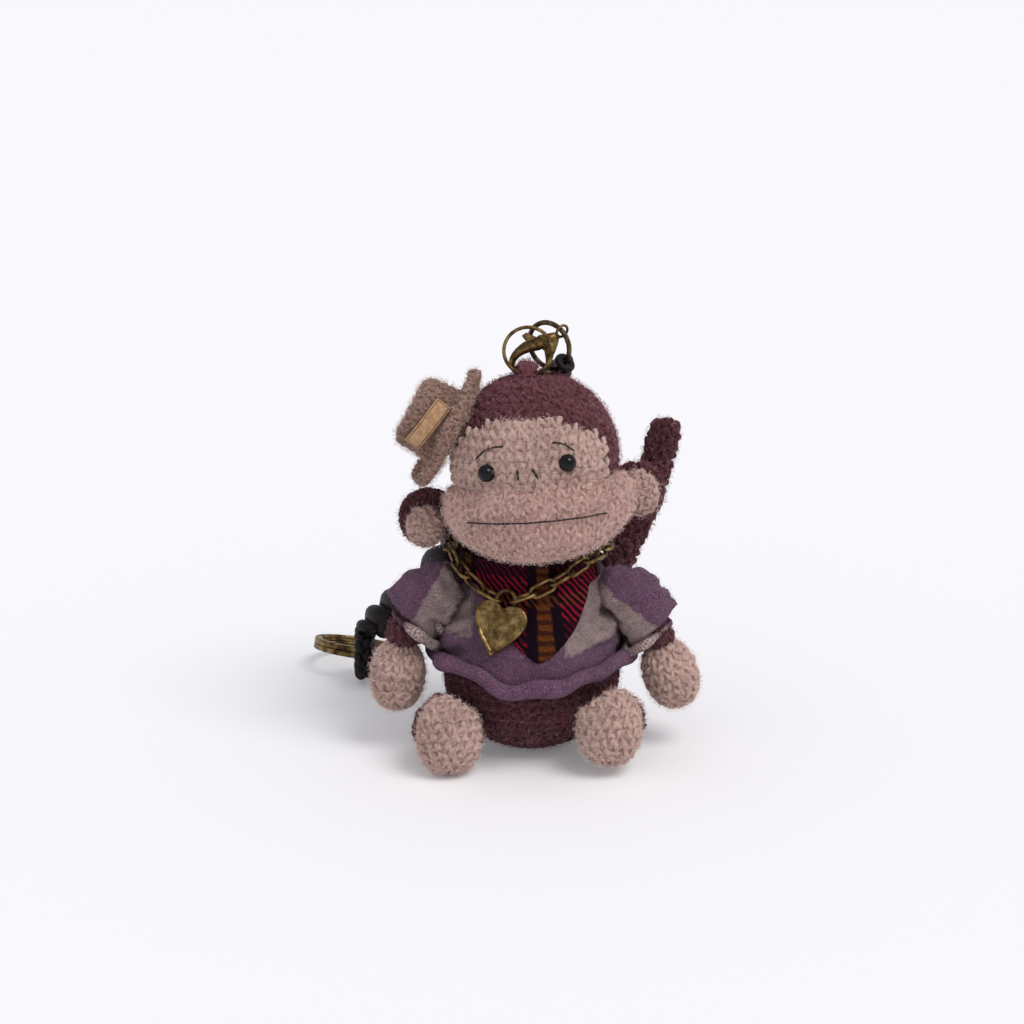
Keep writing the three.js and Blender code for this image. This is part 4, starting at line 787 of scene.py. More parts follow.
def smooth_path(points, count):
    """Evenly spaced points on a smooth curve through the given ones; works on rows of any length."""
    data = np.array(points, float)
    padded = np.vstack([2 * data[0] - data[1], data, 2 * data[-1] - data[-2]])
    fine = []
    for i in range(1, len(padded) - 2):
        p0, p1, p2, p3 = padded[i - 1:i + 3]
        for t in np.linspace(0, 1, 16, endpoint=False):
            fine.append(0.5 * (2 * p1 + (p2 - p0) * t + (2 * p0 - 5 * p1 + 4 * p2 - p3) * t ** 2
                               + (3 * p1 - p0 - 3 * p2 + p3) * t ** 3))
    fine.append(data[-1])
    fine = np.array(fine)
    lengths = running_total(step_lengths(fine[:, :3]))
    wanted = np.linspace(0, lengths[-1], count)
    return np.stack([np.interp(wanted, lengths, fine[:, k]) for k in range(fine.shape[1])], axis=1)


def cast_grid(tree, stations, around, reach, least=0.4 * MM):
    """Rows of points round a form: each station is (centre, along, across, up, tilt in radians)."""
    rows = []
    for centre, along, across, up, tilt in stations:
        row = []
        for angle in angles_round(around):
            flat = across * math.cos(angle) + up * math.sin(angle)
            way = flat * math.cos(tilt) + along * math.sin(tilt)
            hit = tree.ray_cast(centre + way * reach, -way, reach - least)
            row.append(hit[0] if hit[0] is not None else centre + way * least)
        rows.append([tuple(p) for p in row])
    return np.array(rows)


def smoothed(grid, passes, closed_ends=True):
    """A grid of points, rows by columns round, with its facets eased out."""
    for _ in range(passes):
        ring = (np.roll(grid, 1, axis=1) + np.roll(grid, -1, axis=1)) / 2
        rows = grid.copy()
        rows[1:-1] = (grid[:-2] + grid[2:]) / 2
        mixed = grid * 0.4 + ring * 0.3 + rows * 0.3
        if not closed_ends:
            for end in (0, -1):
                mixed[end] = grid[end] * 0.5 + ring[end] * 0.5
        grid = mixed
    if closed_ends:
        for end in (0, -1):
            grid[end] = grid[end].mean(axis=0)
    return grid


def even_rows(grid, count):
    """The same surface with its rows evenly spaced along it, and its length."""
    lengths = running_total(step_lengths(grid).mean(axis=1))
    wanted = np.linspace(0, lengths[-1], count)
    places = np.interp(wanted, lengths, np.arange(len(lengths)))
    low = np.clip(np.floor(places).astype(int), 0, len(grid) - 2)
    share = (places - low)[:, None, None]
    return grid[low] * (1 - share) + grid[low + 1] * share, lengths[-1]


def ball_grid(node, pole, aside, reach, around, rows, passes=3, centre=None):
    """A rounded form seen from its middle, its poles on the line `pole`."""
    along = Vector(pole).normalized()
    across = square_to(along, aside)
    seen_from = (Vector(middle(node) if centre is None else centre), along, across, along.cross(across))
    stations = [(*seen_from, -math.pi / 2 + math.pi * i / (rows * 2)) for i in range(rows * 2 + 1)]
    return even_rows(smoothed(cast_grid(solid_of(node), stations, around, reach), passes), rows)


def limb_grid(node, spine, aside, reach, around, rows):
    """A long form seen from a path inside it, closed round at both ends."""
    caps = 8
    frames = spine_frames(smooth_path(spine, 28), aside)
    stations = [(*frames[0], -math.pi / 2 + math.pi / 2 * i / caps) for i in range(caps)]
    stations += [(*f, 0.0) for f in frames]
    stations += [(*frames[-1], math.pi / 2 * (i + 1) / caps) for i in range(caps)]
    return even_rows(smoothed(cast_grid(solid_of(node), stations, around, reach), 3), rows)


def grid_at(grid, rows, columns):
    """Points of a closed grid at fractional rows and columns."""
    count = grid.shape[1]
    r0 = np.clip(np.floor(rows).astype(int), 0, len(grid) - 2)
    rs = (rows - r0)[:, None]
    c = np.mod(columns, count)
    c0 = np.floor(c).astype(int) % count
    c1 = (c0 + 1) % count
    cs = (c - np.floor(c))[:, None]
    low = grid[r0, c0] * (1 - cs) + grid[r0, c1] * cs
    high = grid[r0 + 1, c0] * (1 - cs) + grid[r0 + 1, c1] * cs
    return low * (1 - rs) + high * rs


def normals_of(grid):
    """Outward ways at each point of a grid that goes round."""
    across = np.roll(grid, -1, axis=1) - np.roll(grid, 1, axis=1)
    along = np.empty_like(grid)
    along[1:-1] = grid[2:] - grid[:-2]
    along[0], along[-1] = grid[1] - grid[0], grid[-1] - grid[-2]
    return unit(np.cross(across, along))


# Crochet

def quaternions(side, up, out):
    """Turns whose x, y and z lie along the given ways, as w, x, y, z."""
    return np.array([tuple(Matrix(ways).transposed().to_quaternion()) for ways in zip(side, up, out)])


def stitch_points(grid, length, width, height, seed, keep=None, sideways=False):
    """A mesh of points, one for each crochet stitch in rounds over a closed grid, with its turn and size."""
    rng = np.random.default_rng(seed)
    rounds = max(3, round(length / height))
    rows, columns, sizes = [], [], []
    last, count = len(grid) - 1, grid.shape[1]
    for k in range(rounds):
        row = (k + 0.5) / rounds * last
        ring = grid_at(grid, np.full(count, row), np.arange(count))
        girth = np.linalg.norm(ring - np.roll(ring, 1, axis=0), axis=1).sum()
        number = max(4, round(girth / width))
        start = (k * 0.5 + k * 0.13) % 1.0
        rows += [row] * number
        columns += [(j + start) / number * count for j in range(number)]
        sizes += [(girth / number, length / rounds)] * number
    rows, columns, sizes = np.array(rows), np.array(columns), np.array(sizes)
    columns = columns + rng.normal(0, 0.14, len(columns)) * sizes[:, 0] / width
    places = grid_at(grid, np.clip(rows + rng.normal(0, 0.13, len(rows)), 0.2, last - 0.2), columns)
    side = unit(grid_at(grid, rows, columns + 0.6) - grid_at(grid, rows, columns - 0.6))
    above, below = np.clip(rows + 0.6, 0, last), np.clip(rows - 0.6, 0, last)
    out = unit(np.cross(side, unit(grid_at(grid, above, columns) - grid_at(grid, below, columns))))
    up = np.cross(out, side)
    if sideways:
        side, up = up, -side
        sizes = sizes[:, ::-1]
    lean = rng.normal(0.12, 0.24, len(places))[:, None]
    side, up = unit(side * np.cos(lean) + up * np.sin(lean)), unit(up * np.cos(lean) - side * np.sin(lean))
    if keep is not None:
        kept = np.array([keep(p) for p in places])
        places, side, up, out, sizes = places[kept], side[kept], up[kept], out[kept], sizes[kept]
    grown = sizes * rng.normal(1.04, 0.12, sizes.shape)
    return point_mesh(places, quaternions(side, up, out), np.column_stack([grown, sizes.min(axis=1)]))


def yarn_over(points, look):
    """A V of yarn on every point, by the settings."""
    props = bpy.context.scene.monkey_wool
    return run_tree(stitch_tree, points, Material=look, Yarn_radius=props.yarn_share, Bulge=props.stitch_bulge,
                    Lumps=props.lumps)


def fuzz_over(surface, finish, density, length, seed, thickness=1.0):
    """Loose fibres over a surface, by the settings."""
    props = bpy.context.scene.monkey_wool
    return run_tree(fuzz_tree, surface, Material=material(finish), Density=density * props.fuzz_share, Length=length,
                    Seed=seed, Thickness=props.fibre_thickness * thickness)


def crocheted(node, form, slot, seed, width=2.5 * MM, height=2.45 * MM, fuzz=5.5e6, hair=1.1 * MM, finish=None,
              keep=None, sideways=False, sink=0.55 * MM):
    """A stuffed crochet piece: its core, a V of yarn for each stitch and its wool fuzz.

    `form` is the piece's grid and length, and `sink` is how far the core lies under it.
    """
    grid, length = form
    name, finish, scale = f"{node}_crochet", finish or slot, bpy.context.scene.monkey_wool.stitch_scale
    out = normals_of(grid)
    core_grid = grid - out * sink
    core_grid[0], core_grid[-1] = grid[0], grid[-1]
    core = closed_mesh(name, core_grid)
    core.materials.append(material(finish))
    points = stitch_points(grid - out * sink * 0.75, length, width * scale, height * scale, seed, keep, sideways)
    yarn = yarn_over(points, material(finish))
    hairs = fuzz_over(closed_mesh("surface", grid - out * sink * 0.3), finish + "_fibres", fuzz, hair, seed)
    whole = join_meshes(name, [core, yarn])
    for mesh in (whole, hairs):
        rest_on_floor(mesh)
    obj = piece(name, whole, slot, body_of(node), [node])
    piece(name + "_fuzz", hairs, slot, body_of(node))


# Settings

LENGTH = {"subtype": "DISTANCE", "unit": "LENGTH"}


def setting(name, description, default, **more):
    return bpy.props.FloatProperty(name=name, description=description, default=default, **more)


class MonkeyWool(bpy.types.PropertyGroup):
    """How the crochet is worked."""

    stitch_scale: setting("Stitch scale", "Size of every crochet stitch against its normal 2.5 mm", 1.0,
                          min=0.6, max=2.0)
    yarn_share: setting("Yarn", "Radius of the yarn as a share of a stitch", 0.24, min=0.1, max=0.35)
    stitch_bulge: setting("Bulge", "How far a stitch stands out, as a share of its size", 0.17, min=0.0, max=0.6)
    fuzz_share: setting("Fuzz", "How thick the loose fibres are spread", 1.0, min=0.0, max=3.0)
    fibre_thickness: setting("Fibre", "Half the width of a loose fibre", 0.022 * MM, **LENGTH)
    lumps: setting("Lumps", "How unevenly the yarn lies", 1.5 * MM, **LENGTH)


class MonkeyStage(bpy.types.PropertyGroup):
    """The view and the light."""

    camera_lens: setting("Lens", "Focal length on a 36 mm sensor, in millimetres", 104.6)
    sun_strength: setting("Key light", "Strength of the large soft light from the upper right", 1.35, min=0.0)
    sky_strength: setting("Surroundings", "Strength of the even light from all round", 0.58, min=0.0)
    floor_tone: bpy.props.FloatVectorProperty(name="Floor", description="Colour of the floor", subtype="COLOR", size=3,
                                              default=rgba(246, 245, 246)[:3])
    floor_lift: setting("Floor lift", "How much paler the camera sees the floor", 0.15, min=0.0)


# Operators

class StageOperator(bpy.types.Operator):
    """Set up the camera, the pale floor and the soft light"""

    bl_idname = "monkey.stage"
    bl_label = "Stage"

    def execute(self, context):
        scene = context.scene
        props = scene.monkey_stage
        camera = bpy.data.cameras.new("Camera")
        camera.lens = props.camera_lens
        camera.sensor_width = 36
        camera.clip_end = 50
        eye = add_object("Camera", camera)
        back = Vector((0, -math.cos(VIEW_ELEVATION), math.sin(VIEW_ELEVATION)))
        eye.location = VIEW_AIM + back * VIEW_DISTANCE
        eye.rotation_euler = (VIEW_AIM - eye.location).to_track_quat("-Z", "Y").to_euler()
        scene.camera = eye
        self.floor(props)
        self.surroundings(scene, props)
        lamp = bpy.data.lights.new("key", "SUN")
        lamp.energy = props.sun_strength
        lamp.angle = SUN_WIDTH
        add_object("key", lamp).rotation_euler = SUN_WAY.to_track_quat("-Z", "Y").to_euler()
        scene.view_settings.view_transform = "Standard"
        return {"FINISHED"}

    @staticmethod
    def floor(props):
        r = FLOOR_REACH
        corners = [(-r, -r, 0), (r, -r, 0), (r, r, 0), (-r, r, 0)]
        floor = add_object("floor", mesh_from("floor", corners, [(0, 1, 2, 3)]))
        look, wire, shader = new_material("pale_floor")
        seen = wire.add("ShaderNodeLightPath").outputs["Is Camera Ray"]
        tone = (*props.floor_tone, 1)
        wire.feed(shader, Base_Color=tone, Emission_Color=tone, Emission_Strength=wire.times(seen, props.floor_lift),
                  Roughness=0.9, Specular_IOR_Level=0.1)
        floor.data.materials.append(look)

    @staticmethod
    def surroundings(scene, props):
        """An even pale light that the camera sees a little differently."""
        world = bpy.data.worlds.new("Studio")
        scene.world = world
        world.use_nodes = True
        wire = Wiring(world.node_tree)
        background = next(n for n in world.node_tree.nodes if n.type == "BACKGROUND")
        seen = wire.add("ShaderNodeLightPath").outputs["Is Camera Ray"]
        wire.feed(background, Color=wire.mix(seen, rgba(246, 246, 252), rgba(248, 248, 250)),
                  Strength=wire.ramp(seen, 0.0, 1.0, props.sky_strength, 1.0))


class TrunkOperator(bpy.types.Operator):
    """Crochet the body, the tail and the legs"""

    bl_idname = "monkey.trunk"
    bl_label = "Body, tail and legs"

    def execute(self, context):
        # Only the part that shows below the sweater has stitches
        spine = [(0, 0, z * MM) for z in (8, 20, 34, 48)]
        crocheted("body", limb_grid("body", spine, AHEAD, 0.05, 72, 56), "burgundy_wool", 11, fuzz=2.6e6,
                  keep=lambda p: p[2] < 0.027)
        spine = metres([(5.5, 19, 10), (9, 22.4, 15), (15.5, 25, 24), (21.6, 25, 38), (26.8, 24, 50.5),
                        (30.4, 22, 62.8), (31.8, 20.8, 69.4)])
        crocheted("tail", limb_grid("tail", spine, (1, 0, 0), 0.02, 32, 64), "burgundy_wool", 12)
        for seed, side in zip((14, 13), SIDES):
            crocheted(f"leg_{side}", ball_grid(f"leg_{side}", AHEAD, UP, 0.03, 48, 40), "burgundy_wool", seed)
        return {"FINISHED"}


class HandsOperator(bpy.types.Operator):
    """Crochet the arms, hands and feet"""

    bl_idname = "monkey.hands"
    bl_label = "Arms, hands and feet"

    def execute(self, context):
        spines = [[(-16, -1.8, 36.6), (-21, -2.5, 36), (-28, -4, 31.5), (-31, -5.3, 26)],
                  [(16, -1.8, 36.4), (20.5, -2.4, 35), (27, -3.2, 30.5), (30.6, -3.7, 25.5)]]
        for number, (side, spine, lean) in enumerate(zip(SIDES, spines, (-6, 20))):
            arm, hand, foot = f"arm_{side}", f"hand_{side}", f"foot_{side}"
            crocheted(arm, limb_grid(arm, metres(spine), AHEAD, 0.012, 32, 48), "burgundy_wool", 21 + number)
            pole = (math.sin(math.radians(lean)), 0, -math.cos(math.radians(lean)))
            crocheted(hand, ball_grid(hand, pole, (0, 1, 0), 0.03, 48, 40), "beige_wool", 23 + number)
            crocheted(foot, ball_grid(foot, (0, 0.3, 1), AHEAD, 0.03, 56, 40), "beige_wool", 25 + number)
        return {"FINISHED"}


class HeadOperator(bpy.types.Operator):
    """Crochet the head, the muzzle and the ears"""

    bl_idname = "monkey.head"
    bl_label = "Head, muzzle and ears"

    def execute(self, context):
        up = from_head(0, 0, 1) - from_head(0, 0, 0)
        form = ball_grid("head", up, AHEAD, 0.05, 96, 64, passes=2, centre=HEAD_CENTRE)
        # No stitches on the top of the crown near the foot of the loop that stands there
        crown, loop_foot, loop_reach = (HEAD_CENTRE + up * 21).z - 0.4 * MM, HEAD_CENTRE + up * 19.5, 6.2 * MM
        # The head wears a lighter copy of the burgundy yarn, partly painted light
        crocheted("head", form, "burgundy_wool", 31, fuzz=6.0e6, finish="head_wool",
                  keep=lambda p: p[2] < crown or math.dist(p, loop_foot) > loop_reach)
        spine = []
        for x in np.linspace(-19, 19, 15):
            out = (x / 22.3) ** 2
            spine.append(from_head(x, -15.0 + 10.5 * out, -10.2 + 0.7 * out))
        crocheted("muzzle", limb_grid("muzzle", spine, UP, 0.03, 56, 72), "beige_wool", 32, width=2.35 * MM,
                  height=2.3 * MM, fuzz=7.5e6, finish="muzzle_wool", sideways=True)
        self.ear(0, "left", -1, (-27.2, 1.5, -13.4), (1.06, 1.0, 0.94), -1.9)
        self.ear(1, "right", 1, (23.4, 1.5, -11.4), (1.16, 1.05, 1.06), 0)
        return {"FINISHED"}

    def ear(self, number, side, hand, centre, growth, rise):
        """An ear, moved inwards a little, and its pad, grown and moved up or down."""
        ear, pad, turn = f"ear_{side}", f"ear_pad_{side}", math.radians(-hand * 12)
        front = from_head(math.sin(turn), -math.cos(turn), 0) - from_head(0, 0, 0)
        grid, length = self.cup_grid(ear, from_head(*centre), front)
        grid = grid + np.array([-hand * 0.7, 0, 0]) * MM
        crocheted(ear, (grid, length), "burgundy_wool", 33 + number, width=1.7 * MM, height=1.5 * MM, sink=0.45 * MM)
        grid, length = ball_grid(pad, front, UP, 0.02, 40, 28)
        core = grid.mean(axis=(0, 1))
        grid = core + (grid - core) * growth + np.array([0, 0, rise]) * MM
        crocheted(pad, (grid, length), "beige_wool", 35 + number, width=2.2 * MM, height=2.1 * MM, sink=0.4 * MM)

    @staticmethod
    def cup_grid(node, centre, front):
        """An ear's shell, closed across its open front."""
        along = front.normalized()
        across = square_to(along, UP)
        seen_from = (centre, along, across, along.cross(across))
        stations = [(*seen_from, -math.pi / 2 + math.pi / 2 * i / 26) for i in range(26)]
        back = cast_grid(solid_of(node), stations, 44, 0.02)
        lid = [back[-1] + (np.array(centre) - back[-1]) * share for share in (0.05, 0.2, 0.45, 0.7, 0.9, 1.0)]
        return even_rows(smoothed(np.concatenate([back, np.array(lid)]), 2), 32)


class FaceOperator(bpy.types.Operator):
    """Set in the face patch, the bead eyes and the thread features"""

    bl_idname = "monkey.face"
    bl_label = "Face"

    def execute(self, context):
        patch = piece("face_patch", self.patch_mesh(), "beige_wool", "head", ["face_panel"])
        stitches = piece("face_stitches", yarn_over(self.stitch_places(), material("beige_wool")), "beige_wool", "head")
        surface = patch.data.copy()
        surface.transform(Matrix.Translation(HEAD_CENTRE) @ Matrix.Scale(PATCH_FUZZ / PATCH_OUTSIDE, 4)
                          @ Matrix.Translation(-HEAD_CENTRE))
        piece("face_fuzz", fuzz_over(surface, "beige_wool_fibres", 6.0e6, 0.95 * MM, 42), "beige_wool", "head")
        for side, (a, e) in {"left": (-31, 5), "right": (20.5, 8.5)}.items():
            ball = ball_rows(on_head(a, e, BEAD_PLACE), 2.05 * MM, 32, 20)
            piece(f"bead_{side}", closed_mesh(f"bead_{side}", ball), "black_bead", "head", [f"eye_{side}"])
        brows = {"left": [(-39.3, 13.2), (-33.5, 18), (-27, 20.8), (-20, 21.8)],
                 "right": [(12.7, 22.1), (17, 21.2), (21.5, 19), (26.3, 14.8)]}
        for side, points in brows.items():
            path = smooth_path([tuple(on_head(a, e, BROW_PLACE)) for a, e in points], 40)
            twisted(f"brow_{side}_thread", path, 0.25 * MM, [f"brow_{side}"])
        nose = {"nose_left": [(-10.6, 7.5), (-10.8, 4), (-10.4, 1)], "nose_right": [(-1.8, 7.5), (0, 4.4), (1.5, 1.5)]}
        for name, points in nose.items():
            path = smooth_path([tuple(on_head(a, e, NOSE_PLACE)) for a, e in points], 14)
            twisted(name, path, 0.28 * MM, [])
        twisted("mouth_twist", self.mouth_path(), 0.23 * MM, ["mouth_thread"])
        return {"FINISHED"}

    @staticmethod
    def patch_mesh():
        """The patch between its rows' ends, in two layers."""
        heights, lefts, rights = zip(*FACE_ROWS[::-1])
        lowest, highest, margin, along, across = -21, 38, 1.5, 30, 40
        corners = []
        for radius in (PATCH_OUTSIDE, PATCH_INSIDE):
            for i in range(along + 1):
                e = lowest + (highest - lowest) * i / along
                left, right = np.interp(e, heights, lefts) + margin, np.interp(e, heights, rights) - margin
                corners += [on_head(left + (right - left) * j / across, e, radius) for j in range(across + 1)]
        return mesh_from("face_patch", corners, slab_faces(along, across))

    @staticmethod
    def stitch_places():
        """Points for the patch's stitches, in level rows."""
        rng = np.random.default_rng(41)
        places, sides, ups, outs, sizes = [], [], [], [], []
        for e, left, right in FACE_ROWS:
            step = math.degrees(2.5 / (20.9 * math.cos(math.radians(e))))
            number = round((right - left) / step)
            for j in range(number + 1):
                a = left + (right - left) * j / number + rng.normal(0, 0.6)
                here = on_head(a, e + rng.normal(0, 0.4), PATCH_STITCHES)
                out = (here - HEAD_CENTRE).normalized()
                up = (on_head(a, e + 1, PATCH_STITCHES) - on_head(a, e - 1, PATCH_STITCHES)).normalized()
                places.append(here), outs.append(out), ups.append(up), sides.append(up.cross(out))
                sizes.append(np.array((2.75, 2.6, 2.4)) * rng.normal(1, 0.09) * MM)
        return point_mesh(places, quaternions(sides, ups, outs), sizes)

    @staticmethod
    def mouth_path():
        """The mouth's slightly drooping line, laid on the muzzle from the front."""
        tree, reach = solid_of("muzzle"), 16.5
        mouth = []
        for x in np.linspace(-reach, reach - 1, 25):
            z = -8.75 - 1.3 * (x / reach) ** 2 - 0.15 * (x / reach)
            here = from_head(x, -45, z)
            way = (from_head(x, 0, z) - here).normalized()
            mouth.append(tuple(tree.ray_cast(here, way, 0.06)[0] - way * 0.7 * MM))
        return smooth_path(mouth[::2], 110)


def ball_rows(centre, radius, around, rows):
    """A ball's points, row by row from its lowest."""
    made = []
    for i in range(rows + 1):
        e = -math.pi / 2 + math.pi * i / rows
        made.append([centre + Vector((math.cos(e) * math.cos(a), math.cos(e) * math.sin(a), math.sin(e))) * radius
                     for a in angles_round(around)])
    return np.array(made)


def across_path(path):
    """Two ways across at each point of a path, carried along it without twist."""
    along = unit(np.gradient(path, axis=0))
    side = np.cross(along[0], (0.13, 0.2, 0.97))
    sides = []
    for way in along:
        side = side - way * np.dot(side, way)
        side = side / np.linalg.norm(side)
        sides.append(side)
    sides = np.array(sides)
    return sides, np.cross(along, sides)


def twisted(name, path, radius, nodes):
    """A black thread of two plies twisted about each other, on the head."""
    pitch, plies = 2.2 * MM, 2
    sides, ups = across_path(path)
    lengths = running_total(step_lengths(path))
    runs = []
    for k in range(plies):
        turn = lengths / pitch * 2 * math.pi + FULL_TURN * k / plies
        offset = sides * np.cos(turn)[:, None] + ups * np.sin(turn)[:, None]
        runs.append((path + offset * radius * 0.45, radius * 0.58))
    mesh = run_tree(thread_tree, path_mesh(runs), Material=material("black_thread"), Sides=8)
    piece(name, mesh, "black_thread", "head", nodes)


# Cloth

def curtain_grid(node, centre, low, high, around, rows, reach, ease=4, bottom=None):
    """Rows of points from the lower to the upper edge of cloth that goes round an upright line.

    `bottom` gives the lower edge's height for an angle, where the solid's own edge is too coarse.
    """
    tree, margin = solid_of(node), 0.15 * MM
    ways = [Vector((math.sin(angle), -math.cos(angle), 0)) for angle in angles_round(around)]

    def depth(way, z):
        """How far the cloth's outside is from the line, or None where there is no cloth."""
        start = Vector((*centre, z))
        hit = tree.ray_cast(start + way * reach, -way, reach)
        return None if hit[0] is None else (hit[0] - start).length

    edges = []
    for way in ways:
        found = [z for z in np.arange(low, high, 0.25 * MM) if depth(way, z) is not None]
        edges.append((found[0] + margin, found[-1] - margin))
    edges = np.array(edges)
    for _ in range(ease):
        edges = edges * 0.5 + (np.roll(edges, 1, axis=0) + np.roll(edges, -1, axis=0)) * 0.25
    if bottom is not None:
        edges[:, 0] = [bottom(angle) for angle in angles_round(around)]
    grid = np.zeros((rows, around, 3))
    for j, way in enumerate(ways):
        last = None
        for i, z in reversed(list(enumerate(np.linspace(edges[j, 0], edges[j, 1], rows)))):
            found = depth(way, z)
            last = last if found is None else found
            grid[i, j] = Vector((*centre, z)) + way * (last if last is not None else reach * 0.4)
    return grid


def rolled(grid, radius, turns=0.8, steps=9):
    """A grid with its lower edge rolled outwards."""
    out = normals_of(grid)[0]
    down = unit(grid[0] - grid[2])
    turn = np.linspace(0, FULL_TURN, grid.shape[1], endpoint=False)
    radius = (radius * (1 + 0.14 * np.sin(5 * turn + 1) + 0.12 * np.sin(11 * turn)))[:, None]
    rows = []
    for i in range(steps, 0, -1):
        angle = 2 * math.pi * turns * i / steps
        rows.append(grid[0] + out * radius * (1 - math.cos(angle)) + down * radius * math.sin(angle))
    return np.concatenate([np.array(rows), grid])


def ripples(grid, amount, seed, sizes):
    """A grid pushed in and out in soft uneven waves, of at most so many across and along for each size."""
    rng = np.random.default_rng(seed)
    rows, count = grid.shape[:2]
    v, u = np.meshgrid(np.linspace(0, 1, rows), np.linspace(0, FULL_TURN, count, endpoint=False), indexing="ij")
    wave = np.zeros_like(u)
    for across, along in sizes:
        for _ in range(3):
            a, b = rng.integers(1, across + 1), rng.uniform(0.3, along)
            wave += np.sin(a * u + b * v * math.pi * 2 + rng.uniform(0, 6.28)) / (across ** 0.5)
    wave /= np.abs(wave).max()
    return grid + normals_of(grid) * (wave * amount)[:, :, None]


def creased(grid, depth, seed, number, width=1.4 * MM, length=6.5 * MM):
    """A grid with short soft creases in it, each a ridge beside a shallow hollow."""
    rng = np.random.default_rng(seed)
    rows, count = grid.shape[:2]
    out = normals_of(grid)
    push = np.zeros((rows, count))
    for _ in range(number):
        i, j = rng.integers(3, rows - 3), rng.integers(0, count)
        here, side = grid[i, j], grid[i, (j + 1) % count] - grid[i, j]
        side = side / np.linalg.norm(side)
        up = np.cross(out[i, j], side)
        angle = rng.uniform(-1.0, 1.0)
        along, across = side * math.cos(angle) + up * math.sin(angle), up * math.cos(angle) - side * math.sin(angle)
        offset = grid - here
        a, b = offset @ along / (length * rng.uniform(0.6, 1.3)), offset @ across / (width * rng.uniform(0.8, 1.6))
        near = np.exp(-a * a) * np.where(out @ out[i, j] > 0.3, 1.0, 0.0)
        push += near * (np.exp(-(b - 1.3) ** 2) - 0.6 * np.exp(-b * b)) * rng.uniform(0.5, 1.0)
    return grid + out * (np.clip(push, -0.6, 1.2) * depth)[:, :, None]


def cloth_mesh(name, grid, thickness, stitch, band=None):
    """A closed sheet over a grid, its outside on the grid, with its map in stitches and its colour band."""
    rows, count = grid.shape[:2]
    inside = grid - normals_of(grid) * thickness
    corners = np.concatenate([grid.reshape(-1, 3), inside.reshape(-1, 3)])
    size = rows * count
    faces, maps = [], []
    girth = np.linalg.norm(np.roll(grid, -1, axis=1) - grid, axis=2).sum(axis=1).mean()
    lengths = running_total(step_lengths(grid).mean(axis=1))
    us = np.arange(count + 1) / count * girth / stitch[0]
    vs = lengths / stitch[1]
    for i in range(rows - 1):
        for j in range(count):
            k = (j + 1) % count
            quad = (i * count + j, i * count + k, (i + 1) * count + k, (i + 1) * count + j)
            flat = ((us[j], vs[i]), (us[j + 1], vs[i]), (us[j + 1], vs[i + 1]), (us[j], vs[i + 1]))
            faces += [quad, tuple(c + size for c in quad[::-1])]
            maps += [flat, flat[::-1]]
    for i in (0, rows - 1):
        for j in range(count):
            k = (j + 1) % count
            quad = (i * count + j, size + i * count + j, size + i * count + k, i * count + k)
            flat = ((us[j], vs[i]), (us[j], vs[i]), (us[j + 1], vs[i]), (us[j + 1], vs[i]))
            faces.append(quad if i == 0 else quad[::-1])
            maps.append(flat if i == 0 else flat[::-1])
    mesh = mesh_from(name, corners, faces)
    layer = mesh.uv_layers.new(name="Stitches")
    layer.data.foreach_set("uv", np.array([c for m in maps for c in m], np.float32).ravel())
    if band is not None:
        values = np.array([band(*(c / MM)) for c in grid.reshape(-1, 3)], np.float32)
        mesh.attributes.new("Band", "FLOAT", "POINT").data.foreach_set("value", np.concatenate([values, values]))
    return mesh, girth, lengths[-1]


def fuzzed(name, grid, slot, body, finish, density, length, seed):
    """Finer loose fibres over a cloth's outside."""
    surface = mesh_from("surface", grid.reshape(-1, 3), tube_faces(*grid.shape[:2]))
    piece(name, fuzz_over(surface, finish, density, length, seed, thickness=0.8), slot, body)


